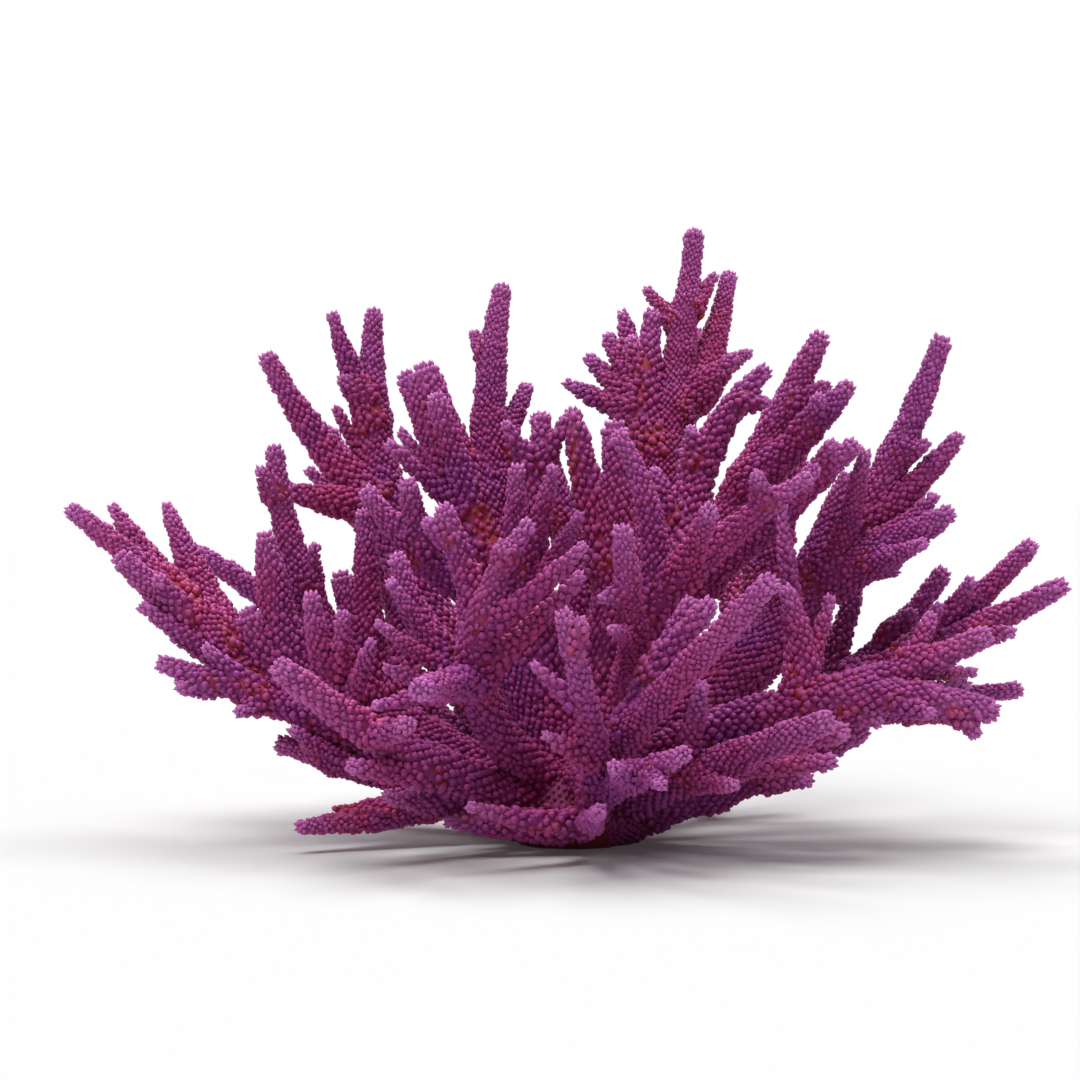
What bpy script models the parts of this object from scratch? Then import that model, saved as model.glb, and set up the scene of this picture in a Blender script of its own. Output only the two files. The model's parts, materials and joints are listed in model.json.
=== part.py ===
"""A bushy staghorn coral colony, cut off flat where it grew on rock.

Lengths in the table are millimetres; the model is in metres, +Z up, and its origin is the middle of the flat cut.
Each branch is one solid. It springs from a share of its parent's length and ends at its tip.
"""

import math
from dataclasses import dataclass

import bmesh
import bpy
from mathutils import Vector

MM = 0.001
GAP = 0.75  # between neighbouring branches
FOOT_CUT_RADIUS = 28.0
FOOT_WIDEST_RADIUS = 42.0
FOOT_WIDEST_HEIGHT = 17.0
FOOT_TOP = 42.0
FOOT_GAP = 0.8  # between the foot and the branches that grow from it
MAIN_SIDES = 5
TINE_SIDES = 4
RING_SPACING = 46.0
TINE_RINGS = 2
KNOB = 0.07  # how far the ridges between the facets stand out, as a share of the radius
FLARE = 0.35  # how much wider a branch is where it springs from its parent
FLARE_LENGTH = 30.0
BLUNTNESS = 1.7  # above 1 a branch keeps its width longer before it tapers to the tip
SOCKET = 2.6  # a branch starts this much slimmer than its parent is there
SOCKET_SLOPE = 0.8  # and widens at this rate until it reaches its own radius
TIP_ROUND = 0.8  # how far before the tip the last ring lies, as a share of the end radius
TRUNK_RADIUS = 20.0  # the arms' socket in the middle of the foot
GROUND_BLOCK = 600.0
GROUND_CLEARANCE = 0.8  # the low branches stay this far above the level of the cut
FLAT_ANGLE = 6.0  # degrees between facets that count as one
WELD = 0.01  # corners closer than this are one
DROOP = 0.06  # a branch leaves its parent a little lower than a straight line to its tip

CORAL_RED_PURPLE = (0.30, 0.045, 0.16, 1.0)
CORAL_LILAC = (0.42, 0.11, 0.33, 1.0)
CORAL_FOOT = (0.33, 0.06, 0.10, 1.0)


@dataclass(frozen=True)
class Tine:
    """A side shoot: where it leaves the branch, its tip, and its radius at the root and the tip."""

    share: float
    tip: tuple
    root: float = 5.0
    end: float = 2.7


@dataclass(frozen=True)
class Branch:
    """A branch of the colony with its side shoots."""

    name: str
    parent: str
    share: float
    tip: tuple
    root: float
    end: float
    elbow: tuple = None
    tines: tuple = ()


BRANCHES = (
    # left side
    Branch("arm_left", "holdfast", 0.45, (-209, -12, 133), 13.0, 5.4, (-112, -6, 34), (
        Tine(0.82, (-190, -20, 123), 5.8, 3.4),
        Tine(0.58, (-197, -22, 110), 7.2, 3.1),
        Tine(0.60, (-142, -10, 143), 11.0, 4.4),
        Tine(0.62, (-150, -12, 109), 9.0, 6.0),
    )),
    Branch("left_fan", "arm_left", 0.72, (-235, 12, 154), 7.7, 4.3, (-190, -2, 122), (
        Tine(0.30, (-217, 27, 155), 8.5, 2.9),
        Tine(0.04, (-193, 40, 155), 10.6, 2.8),
    )),
    Branch("left_low_branch", "arm_left", 0.46, (-188, -34, 85), 7.2, 4.5, (-138, -30, 68), (
        Tine(0.50, (-167, -32, 92), 5.3, 2.8),
        Tine(0.72, (-178, -38, 74), 4.8, 2.6),
        Tine(0.50, (-151, -40, 63), 4.8, 2.6),
    )),
    Branch("arm_left_upright", "holdfast", 0.7, (-140, 18, 183), 12.4, 4.5, (-129, 16, 42), (
        Tine(0.90, (-146, 10, 172), 4.8, 2.6),
        Tine(0.72, (-120, 8, 137), 5.3, 2.7),
        Tine(0.46, (-98, 8, 153), 8.8, 3.4),
        Tine(0.44, (-109, 14, 124), 9.0, 4.6),
    )),
    Branch("left_front_posts", "arm_left", 0.50, (-118, -46, 117), 7.3, 4.1, (-112, -38, 70), (
        Tine(0.12, (-103, -52, 108), 5.9, 3.0),
        Tine(0.06, (-90, -60, 96), 5.5, 2.8),
    )),
    Branch("arm_left_front", "holdfast", 0.4, (-127, -122, 90), 10.2, 5.5, (-62, -76, 30), (
        Tine(0.70, (-70, -136, 66), 5.8, 3.9),
        Tine(0.48, (-97, -112, 46), 6.2, 3.2),
        Tine(0.22, (-84, -68, 29), 9.0, 3.4),
    )),
    Branch("arm_low_left", "holdfast", 0.25, (-136, -14, 47), 9.2, 4.5, (-74, -14, 25), (
        Tine(0.76, (-128, -30, 55), 5.3, 2.8),
        Tine(0.40, (-124, -46, 12), 9.5, 3.2),
    )),
    Branch("arm_upper_left", "holdfast", 0.9, (-98, 102, 251), 15.6, 4.5, (-106, 74, 100), (
        Tine(0.78, (-118, 92, 248), 6.9, 3.2),
        Tine(0.84, (-113, 82, 216), 7.5, 2.8),
        Tine(0.70, (-117, 98, 202), 5.1, 2.6),
    )),
    Branch("upper_left_outer", "arm_upper_left", 0.64, (-150, 86, 228), 9.4, 4.3, (-118, 82, 168), (
        Tine(0.02, (-145, 56, 164), 9.4, 3.0),
    )),
    # front left
    Branch("arm_front_left", "holdfast", 0.6, (-20, -92, 149), 10.3, 3.4, (-77, -100, 74), (
        Tine(0.88, (-32, -104, 140), 4.6, 2.8),
        Tine(0.66, (3, -116, 140), 5.4, 2.9),
        Tine(0.52, (2, -102, 127), 5.4, 3.0),
    )),
    Branch("front_left_lilac", "arm_front_left", 0.56, (-59, -74, 156), 7.4, 4.4, (-42, -64, 116), (
        Tine(0.78, (-66, -74, 149), 4.2, 2.6),
    )),
    Branch("front_left_fan", "arm_front_left", 0.46, (-80, -50, 134), 6.8, 4.1, (-66, -54, 92), (
        Tine(0.30, (-82, -66, 123), 4.8, 2.7),
        Tine(0.16, (-87, -76, 105), 4.6, 2.5),
        Tine(0.06, (-84, -72, 85), 4.6, 2.5),
    )),
    Branch("front_left_facing", "arm_front_left", 0.50, (-66, -152, 81), 7.5, 5.0, (-58, -116, 80), (
        Tine(0.40, (-86, -120, 72), 4.5, 2.4),
    )),
    Branch("arm_centre_left", "holdfast", 1.0, (-34, 62, 260), 13.8, 4.8, (-56, -2, 124), (
        Tine(0.86, (-48, 60, 237), 5.1, 2.6),
        Tine(0.66, (-22, 54, 212), 7.5, 3.4),
    )),
    Branch("left_centre_lilac", "arm_centre_left", 0.36, (-96, -20, 163), 8.0, 4.6, (-66, -16, 122), (
        Tine(0.55, (-76, -28, 167), 7.0, 4.3),
    )),
    Branch("centre_left_cluster", "arm_centre_left", 0.46, (-71, 32, 222), 10.2, 6.2, None, (
        Tine(0.42, (-80, 34, 217), 10.0, 4.6),
        Tine(0.28, (-82, 38, 190), 5.3, 2.7),
        Tine(0.22, (-65, 10, 207), 6.4, 5.1),
        Tine(0.26, (-86, 4, 184), 5.4, 3.0),
    )),
    # centre
    Branch("arm_centre", "holdfast", 1.0, (-14, 14, 198), 10.4, 4.1, (-30, -8, 106), (
        Tine(0.84, (-32, 2, 193), 4.8, 2.6),
        Tine(0.84, (-4, 6, 196), 5.3, 2.7),
    )),
    Branch("centre_posts", "arm_centre", 0.50, (-26, -32, 174), 6.8, 4.1, (-30, -26, 122), (
        Tine(0.30, (-10, -40, 173), 6.2, 3.0),
        Tine(0.16, (2, -56, 152), 5.5, 2.8),
    )),
    Branch("arm_centre_right", "holdfast", 1.0, (18, -6, 194), 12.8, 5.8, (24, -4, 90), (
        Tine(0.62, (-2, 6, 200), 8.6, 4.0),
    )),
    Branch("arm_centre_front", "holdfast", 0.8, (18, -46, 188), 9.6, 3.9, (60, -62, 122), ()),
    Branch("front_centre_post", "arm_centre_front", 0.28, (19, -94, 148), 8.2, 4.8, (26, -86, 88), (
        Tine(0.72, (10, -88, 116), 3.6, 2.4),
        Tine(0.50, (14, -108, 104), 4.0, 2.4),
    )),
    Branch("right_centre_front", "arm_centre_front", 0.46, (103, -62, 169), 8.4, 3.4, (50, -58, 134), (
        Tine(0.80, (78, -74, 170), 4.8, 2.8),
        Tine(0.26, (58, -84, 155), 6.8, 3.9),
    )),
    # back centre
    Branch("arm_back_centre", "holdfast", 1.0, (63, 152, 294), 14.0, 5.0, (44, 104, 128), (
        Tine(0.86, (73, 152, 271), 5.5, 2.8),
        Tine(0.84, (38, 152, 264), 5.3, 2.6),
    )),
    Branch("back_centre_right", "arm_back_centre", 0.68, (81, 162, 273), 9.2, 4.2, (71, 138, 216), (
        Tine(0.52, (66, 172, 243), 4.8, 2.6),
        Tine(0.44, (92, 160, 232), 6.6, 2.6),
        Tine(0.20, (82, 124, 229), 9.6, 2.8),
    )),
    Branch("back_centre_left", "arm_back_centre", 0.60, (41, 136, 252), 8.7, 4.2, (34, 116, 200), (
        Tine(0.62, (29, 128, 238), 5.3, 2.8),
        Tine(0.05, (26, 150, 252), 10.0, 3.2),
        Tine(0.45, (8, 148, 229), 8.2, 3.0),
        Tine(0.40, (-3, 142, 216), 7.6, 2.6),
        Tine(0.50, (18, 146, 240), 7.0, 4.1),
    )),
    # right side
    Branch("arm_right_centre", "holdfast", 0.9, (118, 42, 237), 13.5, 5.4, (64, 42, 128), (
        Tine(0.82, (120, 34, 212), 5.5, 2.8),
    )),
    Branch("right_inner_branch", "arm_right_centre", 0.46, (94, 66, 221), 10.6, 4.3, (46, 66, 174), (
        Tine(0.84, (93, 54, 203), 4.8, 2.6),
        Tine(0.46, (56, 54, 192), 5.5, 2.8),
        Tine(0.18, (38, 50, 172), 5.5, 2.8),
    )),
    Branch("right_centre_fork", "arm_right_centre", 0.64, (129, 18, 212), 9.0, 4.5, None, (
        Tine(0.55, (114, 10, 206), 5.3, 2.8),
    )),
    Branch("right_centre_lower", "arm_right_centre", 0.42, (128, -18, 184), 9.4, 4.5, (82, -2, 142), (
        Tine(0.78, (116, -28, 184), 5.1, 2.8),
        Tine(0.60, (106, -44, 172), 6.0, 3.4),
    )),
    Branch("arm_right_upper", "holdfast", 0.75, (172, 22, 234), 15.0, 4.9, (126, 24, 88), (
        Tine(0.58, (179, 12, 188), 9.0, 3.9),
        Tine(0.80, (163, 6, 184), 5.1, 2.7),
        Tine(0.58, (152, 30, 124), 5.8, 3.0),
        Tine(0.46, (127, 22, 170), 9.0, 3.4),
    )),
    Branch("right_upper_fan", "arm_right_upper", 0.56, (172, -14, 153), 11.5, 4.2, (136, 0, 128), (
        Tine(0.46, (166, 2, 160), 7.6, 2.8),
        Tine(0.36, (156, -38, 139), 6.0, 3.0),
        Tine(0.12, (132, -14, 180), 6.9, 3.2),
    )),
    Branch("arm_right_middle", "holdfast", 0.45, (174, 24, 125), 10.6, 4.5, (114, 26, 37), (
        Tine(0.78, (158, 14, 106), 4.9, 3.0),
        Tine(0.58, (136, 40, 124), 7.2, 3.0),
    )),
    Branch("arm_right_low", "holdfast", 0.35, (186, -62, 64), 11.6, 5.4, (92, -70, 92), (
        Tine(0.88, (176, -66, 55), 4.8, 2.6),
        Tine(0.74, (155, -76, 65), 5.1, 2.7),
        Tine(0.62, (134, -64, 60), 5.3, 2.7),
        Tine(0.78, (174, -46, 76), 5.6, 2.8),
    )),
    Branch("right_front_posts", "arm_right_low", 0.52, (92, -52, 120), 6.0, 3.6, (108, -54, 86), (
        Tine(0.12, (114, -38, 115), 5.2, 2.8),
        Tine(0.20, (93, -26, 156), 5.6, 2.8),
    )),
    Branch("right_low_fork", "arm_right_low", 0.52, (184, -50, 99), 8.8, 5.0, (142, -52, 78), (
        Tine(0.56, (160, -34, 107), 5.5, 3.0),
        Tine(0.60, (181, -24, 80), 4.2, 2.7),
    )),
    Branch("right_far_branch", "arm_right_middle", 0.62, (223, -20, 120), 9.8, 4.5, (158, 0, 82), (
        Tine(0.66, (198, -24, 98), 5.1, 2.7),
    )),
    Branch("right_far_upper", "right_far_branch", 0.34, (212, 4, 138), 7.7, 4.5, None, (
        Tine(0.36, (181, -10, 122), 5.3, 2.9),
        Tine(0.12, (166, -14, 110), 5.1, 2.8),
    )),
    # front right
    Branch("arm_front_right", "holdfast", 0.55, (80, -152, 127), 8.6, 5.2, (12, -108, 52), ()),
    Branch("front_right_second", "arm_front_right", 0.44, (58, -96, 115), 6.8, 4.6, (27, -84, 78), (
        Tine(0.42, (50, -80, 116), 6.5, 4.0),
    )),
    Branch("arm_right_front", "holdfast", 0.35, (108, -114, 66), 10.4, 5.3, (46, -74, 36), (
        Tine(0.84, (116, -98, 60), 5.6, 3.9),
        Tine(0.62, (113, -78, 45), 5.6, 3.8),
        Tine(0.50, (67, -114, 38), 5.0, 2.8),
        Tine(0.46, (54, -92, 80), 6.0, 3.0),
    )),
    Branch("arm_low_right", "holdfast", 0.2, (131, -42, 56), 10.4, 4.3, (68, -32, 22), (
        Tine(0.62, (104, -54, 34), 5.8, 2.9),
    )),
    # front
    Branch("arm_front", "holdfast", 0.4, (-7, -142, 113), 8.2, 3.8, (20, -108, 20), (
        Tine(0.90, (1, -144, 110), 3.6, 2.5),
        Tine(0.74, (-19, -124, 90), 3.8, 2.2),
        Tine(0.56, (-14, -122, 60), 4.2, 2.4),
    )),
    Branch("front_low_branch", "arm_front", 0.36, (44, -150, 55), 7.6, 3.8, (20, -118, 40), (
        Tine(0.46, (14, -150, 50), 5.0, 3.2),
        Tine(0.70, (34, -152, 42), 4.3, 2.6),
    )),
    Branch("arm_low_front", "holdfast", 0.25, (9, -142, 31), 6.8, 2.8, (4, -80, 14), (
        Tine(0.50, (-46, -120, 30), 4.8, 2.7),
        Tine(0.30, (-58, -62, 17), 7.5, 3.0),
    )),
    # right back
    Branch("arm_low_right_back", "holdfast", 0.25, (209, 18, 69), 10.4, 4.3, (98, 44, 56), (
        Tine(0.56, (158, 74, 70), 6.9, 3.2),
        Tine(0.74, (182, 48, 53), 5.3, 2.7),
    )),
    Branch("arm_back_right", "holdfast", 0.5, (128, 150, 128), 11.6, 5.0, (70, 78, 46), (
        Tine(0.62, (134, 126, 92), 8.8, 3.4),
        Tine(0.66, (112, 176, 98), 6.9, 3.2),
        Tine(0.84, (136, 136, 140), 5.3, 2.8),
        Tine(0.66, (126, 96, 98), 7.4, 3.4),
    )),
    Branch("back_right_upright", "arm_back_right", 0.48, (114, 98, 206), 8.8, 4.5, (104, 84, 120), (
        Tine(0.56, (112, 140, 178), 6.2, 3.0),
        Tine(0.40, (84, 130, 172), 6.2, 3.0),
        Tine(0.72, (104, 112, 196), 6.4, 2.6),
    )),
    Branch("back_right_fork", "arm_back_right", 0.56, (86, 182, 152), 8.4, 4.5, (92, 134, 90), (
        Tine(0.62, (104, 186, 136), 5.5, 2.8),
        Tine(0.46, (68, 164, 138), 6.0, 3.0),
    )),
    # back
    Branch("arm_back", "holdfast", 0.55, (14, 206, 114), 11.8, 5.0, (6, 112, 40), (
        Tine(0.64, (46, 196, 98), 6.9, 3.2),
        Tine(0.70, (-18, 198, 88), 6.4, 3.0),
        Tine(0.86, (26, 196, 124), 5.1, 2.7),
    )),
    Branch("back_upright", "arm_back", 0.44, (-18, 144, 200), 9.0, 4.5, (6, 120, 122), (
        Tine(0.56, (8, 164, 182), 6.2, 3.0),
        Tine(0.62, (-34, 134, 182), 5.8, 2.8),
        Tine(0.36, (20, 142, 152), 5.8, 3.0),
    )),
    Branch("back_left_fork", "arm_back", 0.52, (-46, 180, 148), 8.4, 4.5, (-12, 136, 84), (
        Tine(0.62, (-26, 190, 140), 5.5, 2.8),
        Tine(0.42, (-52, 156, 118), 6.0, 3.0),
    )),
    # left back
    Branch("arm_back_left", "holdfast", 0.55, (-150, 138, 118), 11.8, 5.0, (-76, 74, 42), (
        Tine(0.62, (-118, 158, 96), 6.9, 3.2),
        Tine(0.70, (-158, 112, 96), 9.6, 3.0),
        Tine(0.84, (-134, 142, 128), 5.3, 2.7),
    )),
    Branch("back_left_outer", "arm_back_left", 0.46, (-182, 62, 133), 8.4, 4.3, (-124, 62, 94), (
        Tine(0.56, (-168, 86, 126), 5.8, 2.8),
        Tine(0.40, (-140, 82, 144), 6.0, 3.0),
    )),
    Branch("back_left_upright", "arm_back_left", 0.56, (-124, 140, 192), 8.8, 4.5, (-74, 108, 112), (
        Tine(0.58, (-92, 136, 180), 6.2, 3.0),
        Tine(0.66, (-132, 120, 172), 5.8, 2.8),
        Tine(0.34, (-72, 130, 146), 6.2, 3.0),
    )),
    # low back
    Branch("arm_low_left_back", "holdfast", 0.2, (-138, 112, 62), 10.2, 4.3, (-78, 62, 16), (
        Tine(0.60, (-112, 128, 42), 6.4, 3.1),
        Tine(0.64, (-138, 84, 70), 5.5, 2.8),
    )),
    Branch("arm_low_back", "holdfast", 0.2, (-42, 168, 44), 10.2, 4.3, (-26, 86, 8), (
        Tine(0.56, (-78, 148, 48), 6.4, 3.1),
        Tine(0.66, (-14, 158, 28), 5.5, 2.8),
    )),
    Branch("arm_low_back_right", "holdfast", 0.2, (98, 140, 46), 10.2, 4.3, (50, 74, 8), (
        Tine(0.56, (124, 108, 44), 6.4, 3.1),
        Tine(0.62, (64, 150, 32), 5.8, 2.9),
    )),
)


def bezier(start, elbow, tip, count):
    """Points at even shares along the smooth curve from start past the elbow to the tip."""
    points = []
    for index in range(count):
        share = index / (count - 1)
        rest = 1.0 - share
        points.append(start * rest * rest + elbow * (2.0 * share * rest) + tip * share * share)
    return points


def point_on(curve, share):
    """The point at a share of a branch's curve."""
    start, elbow, tip = curve
    rest = 1.0 - share
    return start * rest * rest + elbow * (2.0 * share * rest) + tip * share * share


def curve_of(start, tip, elbow=None):
    """A branch's curve. With no elbow given, it droops a little below the straight line and then turns up."""
    tip = Vector(tip)
    if elbow is None:
        elbow = (start + tip) / 2.0 - Vector((0.0, 0.0, DROOP * (tip - start).length))
    return (start, Vector(elbow), tip)


def curve_length(curve):
    points = bezier(*curve, 9)
    return sum((b - a).length for a, b in zip(points, points[1:]))


def radius_at(run, length, root, end, socket):
    """The radius at a distance along a branch: a blunt taper, wider near its parent, but inside it at the start."""
    taper = root + (end - root) * (run / length) ** BLUNTNESS
    near = max(0.0, 1.0 - run / FLARE_LENGTH)
    widest = socket - SOCKET + SOCKET_SLOPE * run
    return min(taper * (1.0 + FLARE * near * near), widest)


def tube(name, curve, root, end, socket, sides, rings, fatter=0.0):
    """A closed knobbly tube along a curve. Each ring is turned half a side from the last one."""
    length = curve_length(curve)
    last_share = 1.0 - TIP_ROUND * end / length
    points = [point_on(curve, last_share * index / (rings - 1)) for index in range(rings)]
    mesh = bmesh.new()
    across = None
    last = None
    first = None
    run = 0.0
    for index, point in enumerate(points):
        ahead = points[min(index + 1, rings - 1)]
        behind = points[max(index - 1, 0)]
        along = (ahead - behind).normalized()
        if across is None:
            across = along.orthogonal().normalized()
        across = (across - along * across.dot(along)).normalized()
        over = along.cross(across)
        if index:
            run += (point - points[index - 1]).length
        radius = radius_at(run, length, root, end, socket) + fatter
        turn = (index % 2) * 0.5
        ring = []
        for side in range(sides):
            angle = 2.0 * math.pi * (side + turn) / sides
            knob = 1.0 + (KNOB if side % 2 == index % 2 else -KNOB)
            offset = (across * math.cos(angle) + over * math.sin(angle)) * radius * knob
            ring.append(mesh.verts.new((point + offset) * MM))
        if last is None:
            first = ring
        else:
            join_rings(mesh, last, ring, turn > 0.0)
        last = ring
    mesh.faces.new(list(reversed(first)))
    peak = mesh.verts.new((curve[2] + along * fatter) * MM)
    for side in range(sides):
        mesh.faces.new((last[side], last[(side + 1) % sides], peak))
    return finished(name, mesh)


def join_rings(mesh, below, above, turned_forward):
    """A zigzag band of triangles between two rings."""
    sides = len(below)
    for side in range(sides):
        after = (side + 1) % sides
        if turned_forward:
            mesh.faces.new((below[side], below[after], above[side]))
            mesh.faces.new((below[after], above[after], above[side]))
        else:
            mesh.faces.new((below[side], above[after], above[side]))
            mesh.faces.new((below[side], below[after], above[after]))


def finished(name, mesh):
    """The mesh as an object in the scene."""
    bmesh.ops.recalc_face_normals(mesh, faces=mesh.faces)
    data = bpy.data.meshes.new(name)
    mesh.to_mesh(data)
    mesh.free()
    piece = bpy.data.objects.new(name, data)
    bpy.context.scene.collection.objects.link(piece)
    return piece


def bake_boolean(piece, other, operation):
    """Joins another shape to a piece or cuts it from the piece, and keeps the result as the piece's mesh."""
    modifier = piece.modifiers.new(operation.title(), "BOOLEAN")
    modifier.operation = operation
    modifier.solver = "EXACT"
    modifier.object = other
    graph = bpy.context.evaluated_depsgraph_get()
    data = bpy.data.meshes.new_from_object(piece.evaluated_get(graph))
    piece.modifiers.remove(modifier)
    old = piece.data
    piece.data = data
    bpy.data.meshes.remove(old)
    bpy.data.objects.remove(other)


def keep_largest_body(piece):
    """Drops the crumbs that a cut leaves on the far side of a neighbour."""
    mesh = bmesh.new()
    mesh.from_mesh(piece.data)
    bodies = []
    left = set(mesh.faces)
    while left:
        body = {left.pop()}
        edge_of_body = list(body)
        while edge_of_body:
            face = edge_of_body.pop()
            for edge in face.edges:
                if len(edge.link_faces) != 2:
                    continue
                for other in edge.link_faces:
                    if other in left:
                        left.discard(other)
                        body.add(other)
                        edge_of_body.append(other)
        bodies.append(body)
    bodies.sort(key=lambda faces: sum(face.calc_area() for face in faces))
    crumbs = [face for body in bodies[:-1] for face in body]
    bmesh.ops.delete(mesh, geom=crumbs, context="FACES")
    mesh.to_mesh(piece.data)
    mesh.free()


def rest_flat_facets(piece):
    """Makes one facet of the slivers that a cut leaves on a flat facet, and keeps every facet a triangle."""
    mesh = bmesh.new()
    mesh.from_mesh(piece.data)
    bmesh.ops.remove_doubles(mesh, verts=mesh.verts, dist=WELD * MM)
    bmesh.ops.dissolve_limit(
        mesh,
        angle_limit=math.radians(FLAT_ANGLE),
        verts=mesh.verts,
        edges=mesh.edges,
    )
    bmesh.ops.triangulate(mesh, faces=mesh.faces)
    mesh.to_mesh(piece.data)
    mesh.free()


def coral_material(name, colour):
    material = bpy.data.materials.new(name)
    material.use_nodes = True
    shader = material.node_tree.nodes["Principled BSDF"]
    shader.inputs["Base Color"].default_value = colour
    shader.inputs["Roughness"].default_value = 0.62
    shader.inputs["Metallic"].default_value = 0.0
    material.diffuse_color = colour
    return material


def holdfast_rings(fatter=0.0):
    """Height and radius of each ring of the foot, from the cut to the crown."""
    return (
        (0.0 - fatter, FOOT_CUT_RADIUS + fatter),
        (FOOT_WIDEST_HEIGHT * 0.5, FOOT_WIDEST_RADIUS * 0.95 + fatter),
        (FOOT_WIDEST_HEIGHT, FOOT_WIDEST_RADIUS + fatter),
        (FOOT_TOP * 0.72, FOOT_WIDEST_RADIUS * 0.78 + fatter),
        (FOOT_TOP * 0.94, FOOT_WIDEST_RADIUS * 0.42 + fatter),
    )


def holdfast(name, fatter=0.0):
    """The fused foot of the colony: a low lumpy dome with a flat cut underneath."""
    sides = 14
    mesh = bmesh.new()
    last = None
    for index, (height, radius) in enumerate(holdfast_rings(fatter)):
        ring = []
        for side in range(sides):
            angle = 2.0 * math.pi * (side + 0.5 * (index % 2)) / sides
            lump = 1.0 + 0.05 * math.sin(3.0 * angle + 1.0) + 0.03 * math.cos(5.0 * angle)
            x = radius * lump * math.cos(angle) * MM
            y = radius * lump * math.sin(angle) * MM
            ring.append(mesh.verts.new((x, y, height * MM)))
        if last is None:
            mesh.faces.new(list(reversed(ring)))
        else:
            join_rings(mesh, last, ring, index % 2 == 1)
        last = ring
    peak = mesh.verts.new((0.0, 0.0, (FOOT_TOP + fatter) * MM))
    for side in range(sides):
        mesh.faces.new((last[side], last[(side + 1) % sides], peak))
    return finished(name, mesh)


def layout():
    """Every branch's tubes in growth order: {name: [(curve, root, end and socket radius, sides, rings), ...]}."""
    trunk = (Vector((0, 0, 4)), Vector((0, 0, 16)), Vector((0, 0, 30)))
    tubes = {"holdfast": [(trunk, TRUNK_RADIUS, TRUNK_RADIUS, TRUNK_RADIUS + SOCKET, MAIN_SIDES, 2)]}
    for branch in BRANCHES:
        shaft = sprout(tubes[branch.parent][0], branch.share, branch.tip, branch.elbow, (branch.root, branch.end))
        tubes[branch.name] = [with_rings(shaft, MAIN_SIDES, 4)]
        for tine in branch.tines:
            shoot = sprout(shaft, tine.share, tine.tip, None, (tine.root, tine.end))
            tubes[branch.name].append(with_rings(shoot, TINE_SIDES, TINE_RINGS))
    del tubes["holdfast"]
    return tubes


def sprout(parent, share, tip, elbow, radii):
    """The curve and radii of a shoot that springs from a share of its parent's curve."""
    curve = curve_of(point_on(parent[0], share), tip, elbow)
    parent_length = curve_length(parent[0])
    parent_run = parent_length * share
    socket = radius_at(parent_run, parent_length, *parent[1:4])
    return (curve, *radii, socket)


def with_rings(shoot, sides, fewest):
    """A shoot with the number of its sides and of the rings along it."""
    return (*shoot, sides, max(fewest, round(curve_length(shoot[0]) / RING_SPACING) + 1))


def rest_above_ground(piece):
    """Cuts away what would reach below the flat cut of the foot."""
    if min(vertex.co.z for vertex in piece.data.vertices) >= GROUND_CLEARANCE * MM:
        return
    mesh = bmesh.new()
    bmesh.ops.create_cube(mesh, size=GROUND_BLOCK * MM)
    lowered = Vector((0.0, 0.0, (GROUND_CLEARANCE - GROUND_BLOCK / 2.0) * MM))
    bmesh.ops.translate(mesh, verts=mesh.verts, vec=lowered)
    bake_boolean(piece, finished("ground", mesh), "DIFFERENCE")


def come_near(first, second):
    """Whether two tubes may touch, from the distances between points along them."""
    one = bezier(*first[0], 13)
    two = bezier(*second[0], 13)
    reach = (first[1] + second[1]) * (1.0 + FLARE) + 12.0
    return any((a - b).length < reach for a in one for b in two)


def make_branch(name, tubes, earlier):
    """One branch with its side shoots, cut back a little from everything that grew before it."""
    piece = tube(name, *tubes[name][0])
    for index, shoot in enumerate(tubes[name][1:]):
        bake_boolean(piece, tube(f"{name}_shoot_{index}", *shoot), "UNION")
    bake_boolean(piece, holdfast("foot_cutter", FOOT_GAP), "DIFFERENCE")
    for other in earlier:
        for grown in tubes[other]:
            if any(come_near(grown, own) for own in tubes[name]):
                bake_boolean(piece, tube("neighbour", *grown, fatter=GAP), "DIFFERENCE")
    rest_above_ground(piece)
    rest_flat_facets(piece)
    keep_largest_body(piece)
    return piece


def main():
    for old in list(bpy.data.objects):
        bpy.data.objects.remove(old)
    foot_material = coral_material("coral foot", CORAL_FOOT)
    arm_material = coral_material("coral arm", CORAL_RED_PURPLE)
    branch_material = coral_material("coral branch", CORAL_LILAC)
    foot = holdfast("holdfast")
    foot.data.materials.append(foot_material)
    tubes = layout()
    earlier = []
    for branch in BRANCHES:
        piece = make_branch(branch.name, tubes, earlier)
        piece.data.materials.clear()
        piece.data.materials.append(arm_material if branch.parent == "holdfast" else branch_material)
        piece.data.shade_smooth()
        earlier.append(branch.name)


if __name__ == "__main__":
    main()
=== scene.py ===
"""The looks of a staghorn coral colony: a skin of small leaning cups, in spiral rows, over every branch.

Lengths of the coral are in millimetres, as in the branch table, and become metres where a mesh is made.
A branch is a bundle of shoots: its shaft and its side shoots. Each is a tapered tube along a smooth curve.
"""

import json
import logging
import math
from dataclasses import dataclass, field
from enum import Enum

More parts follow.
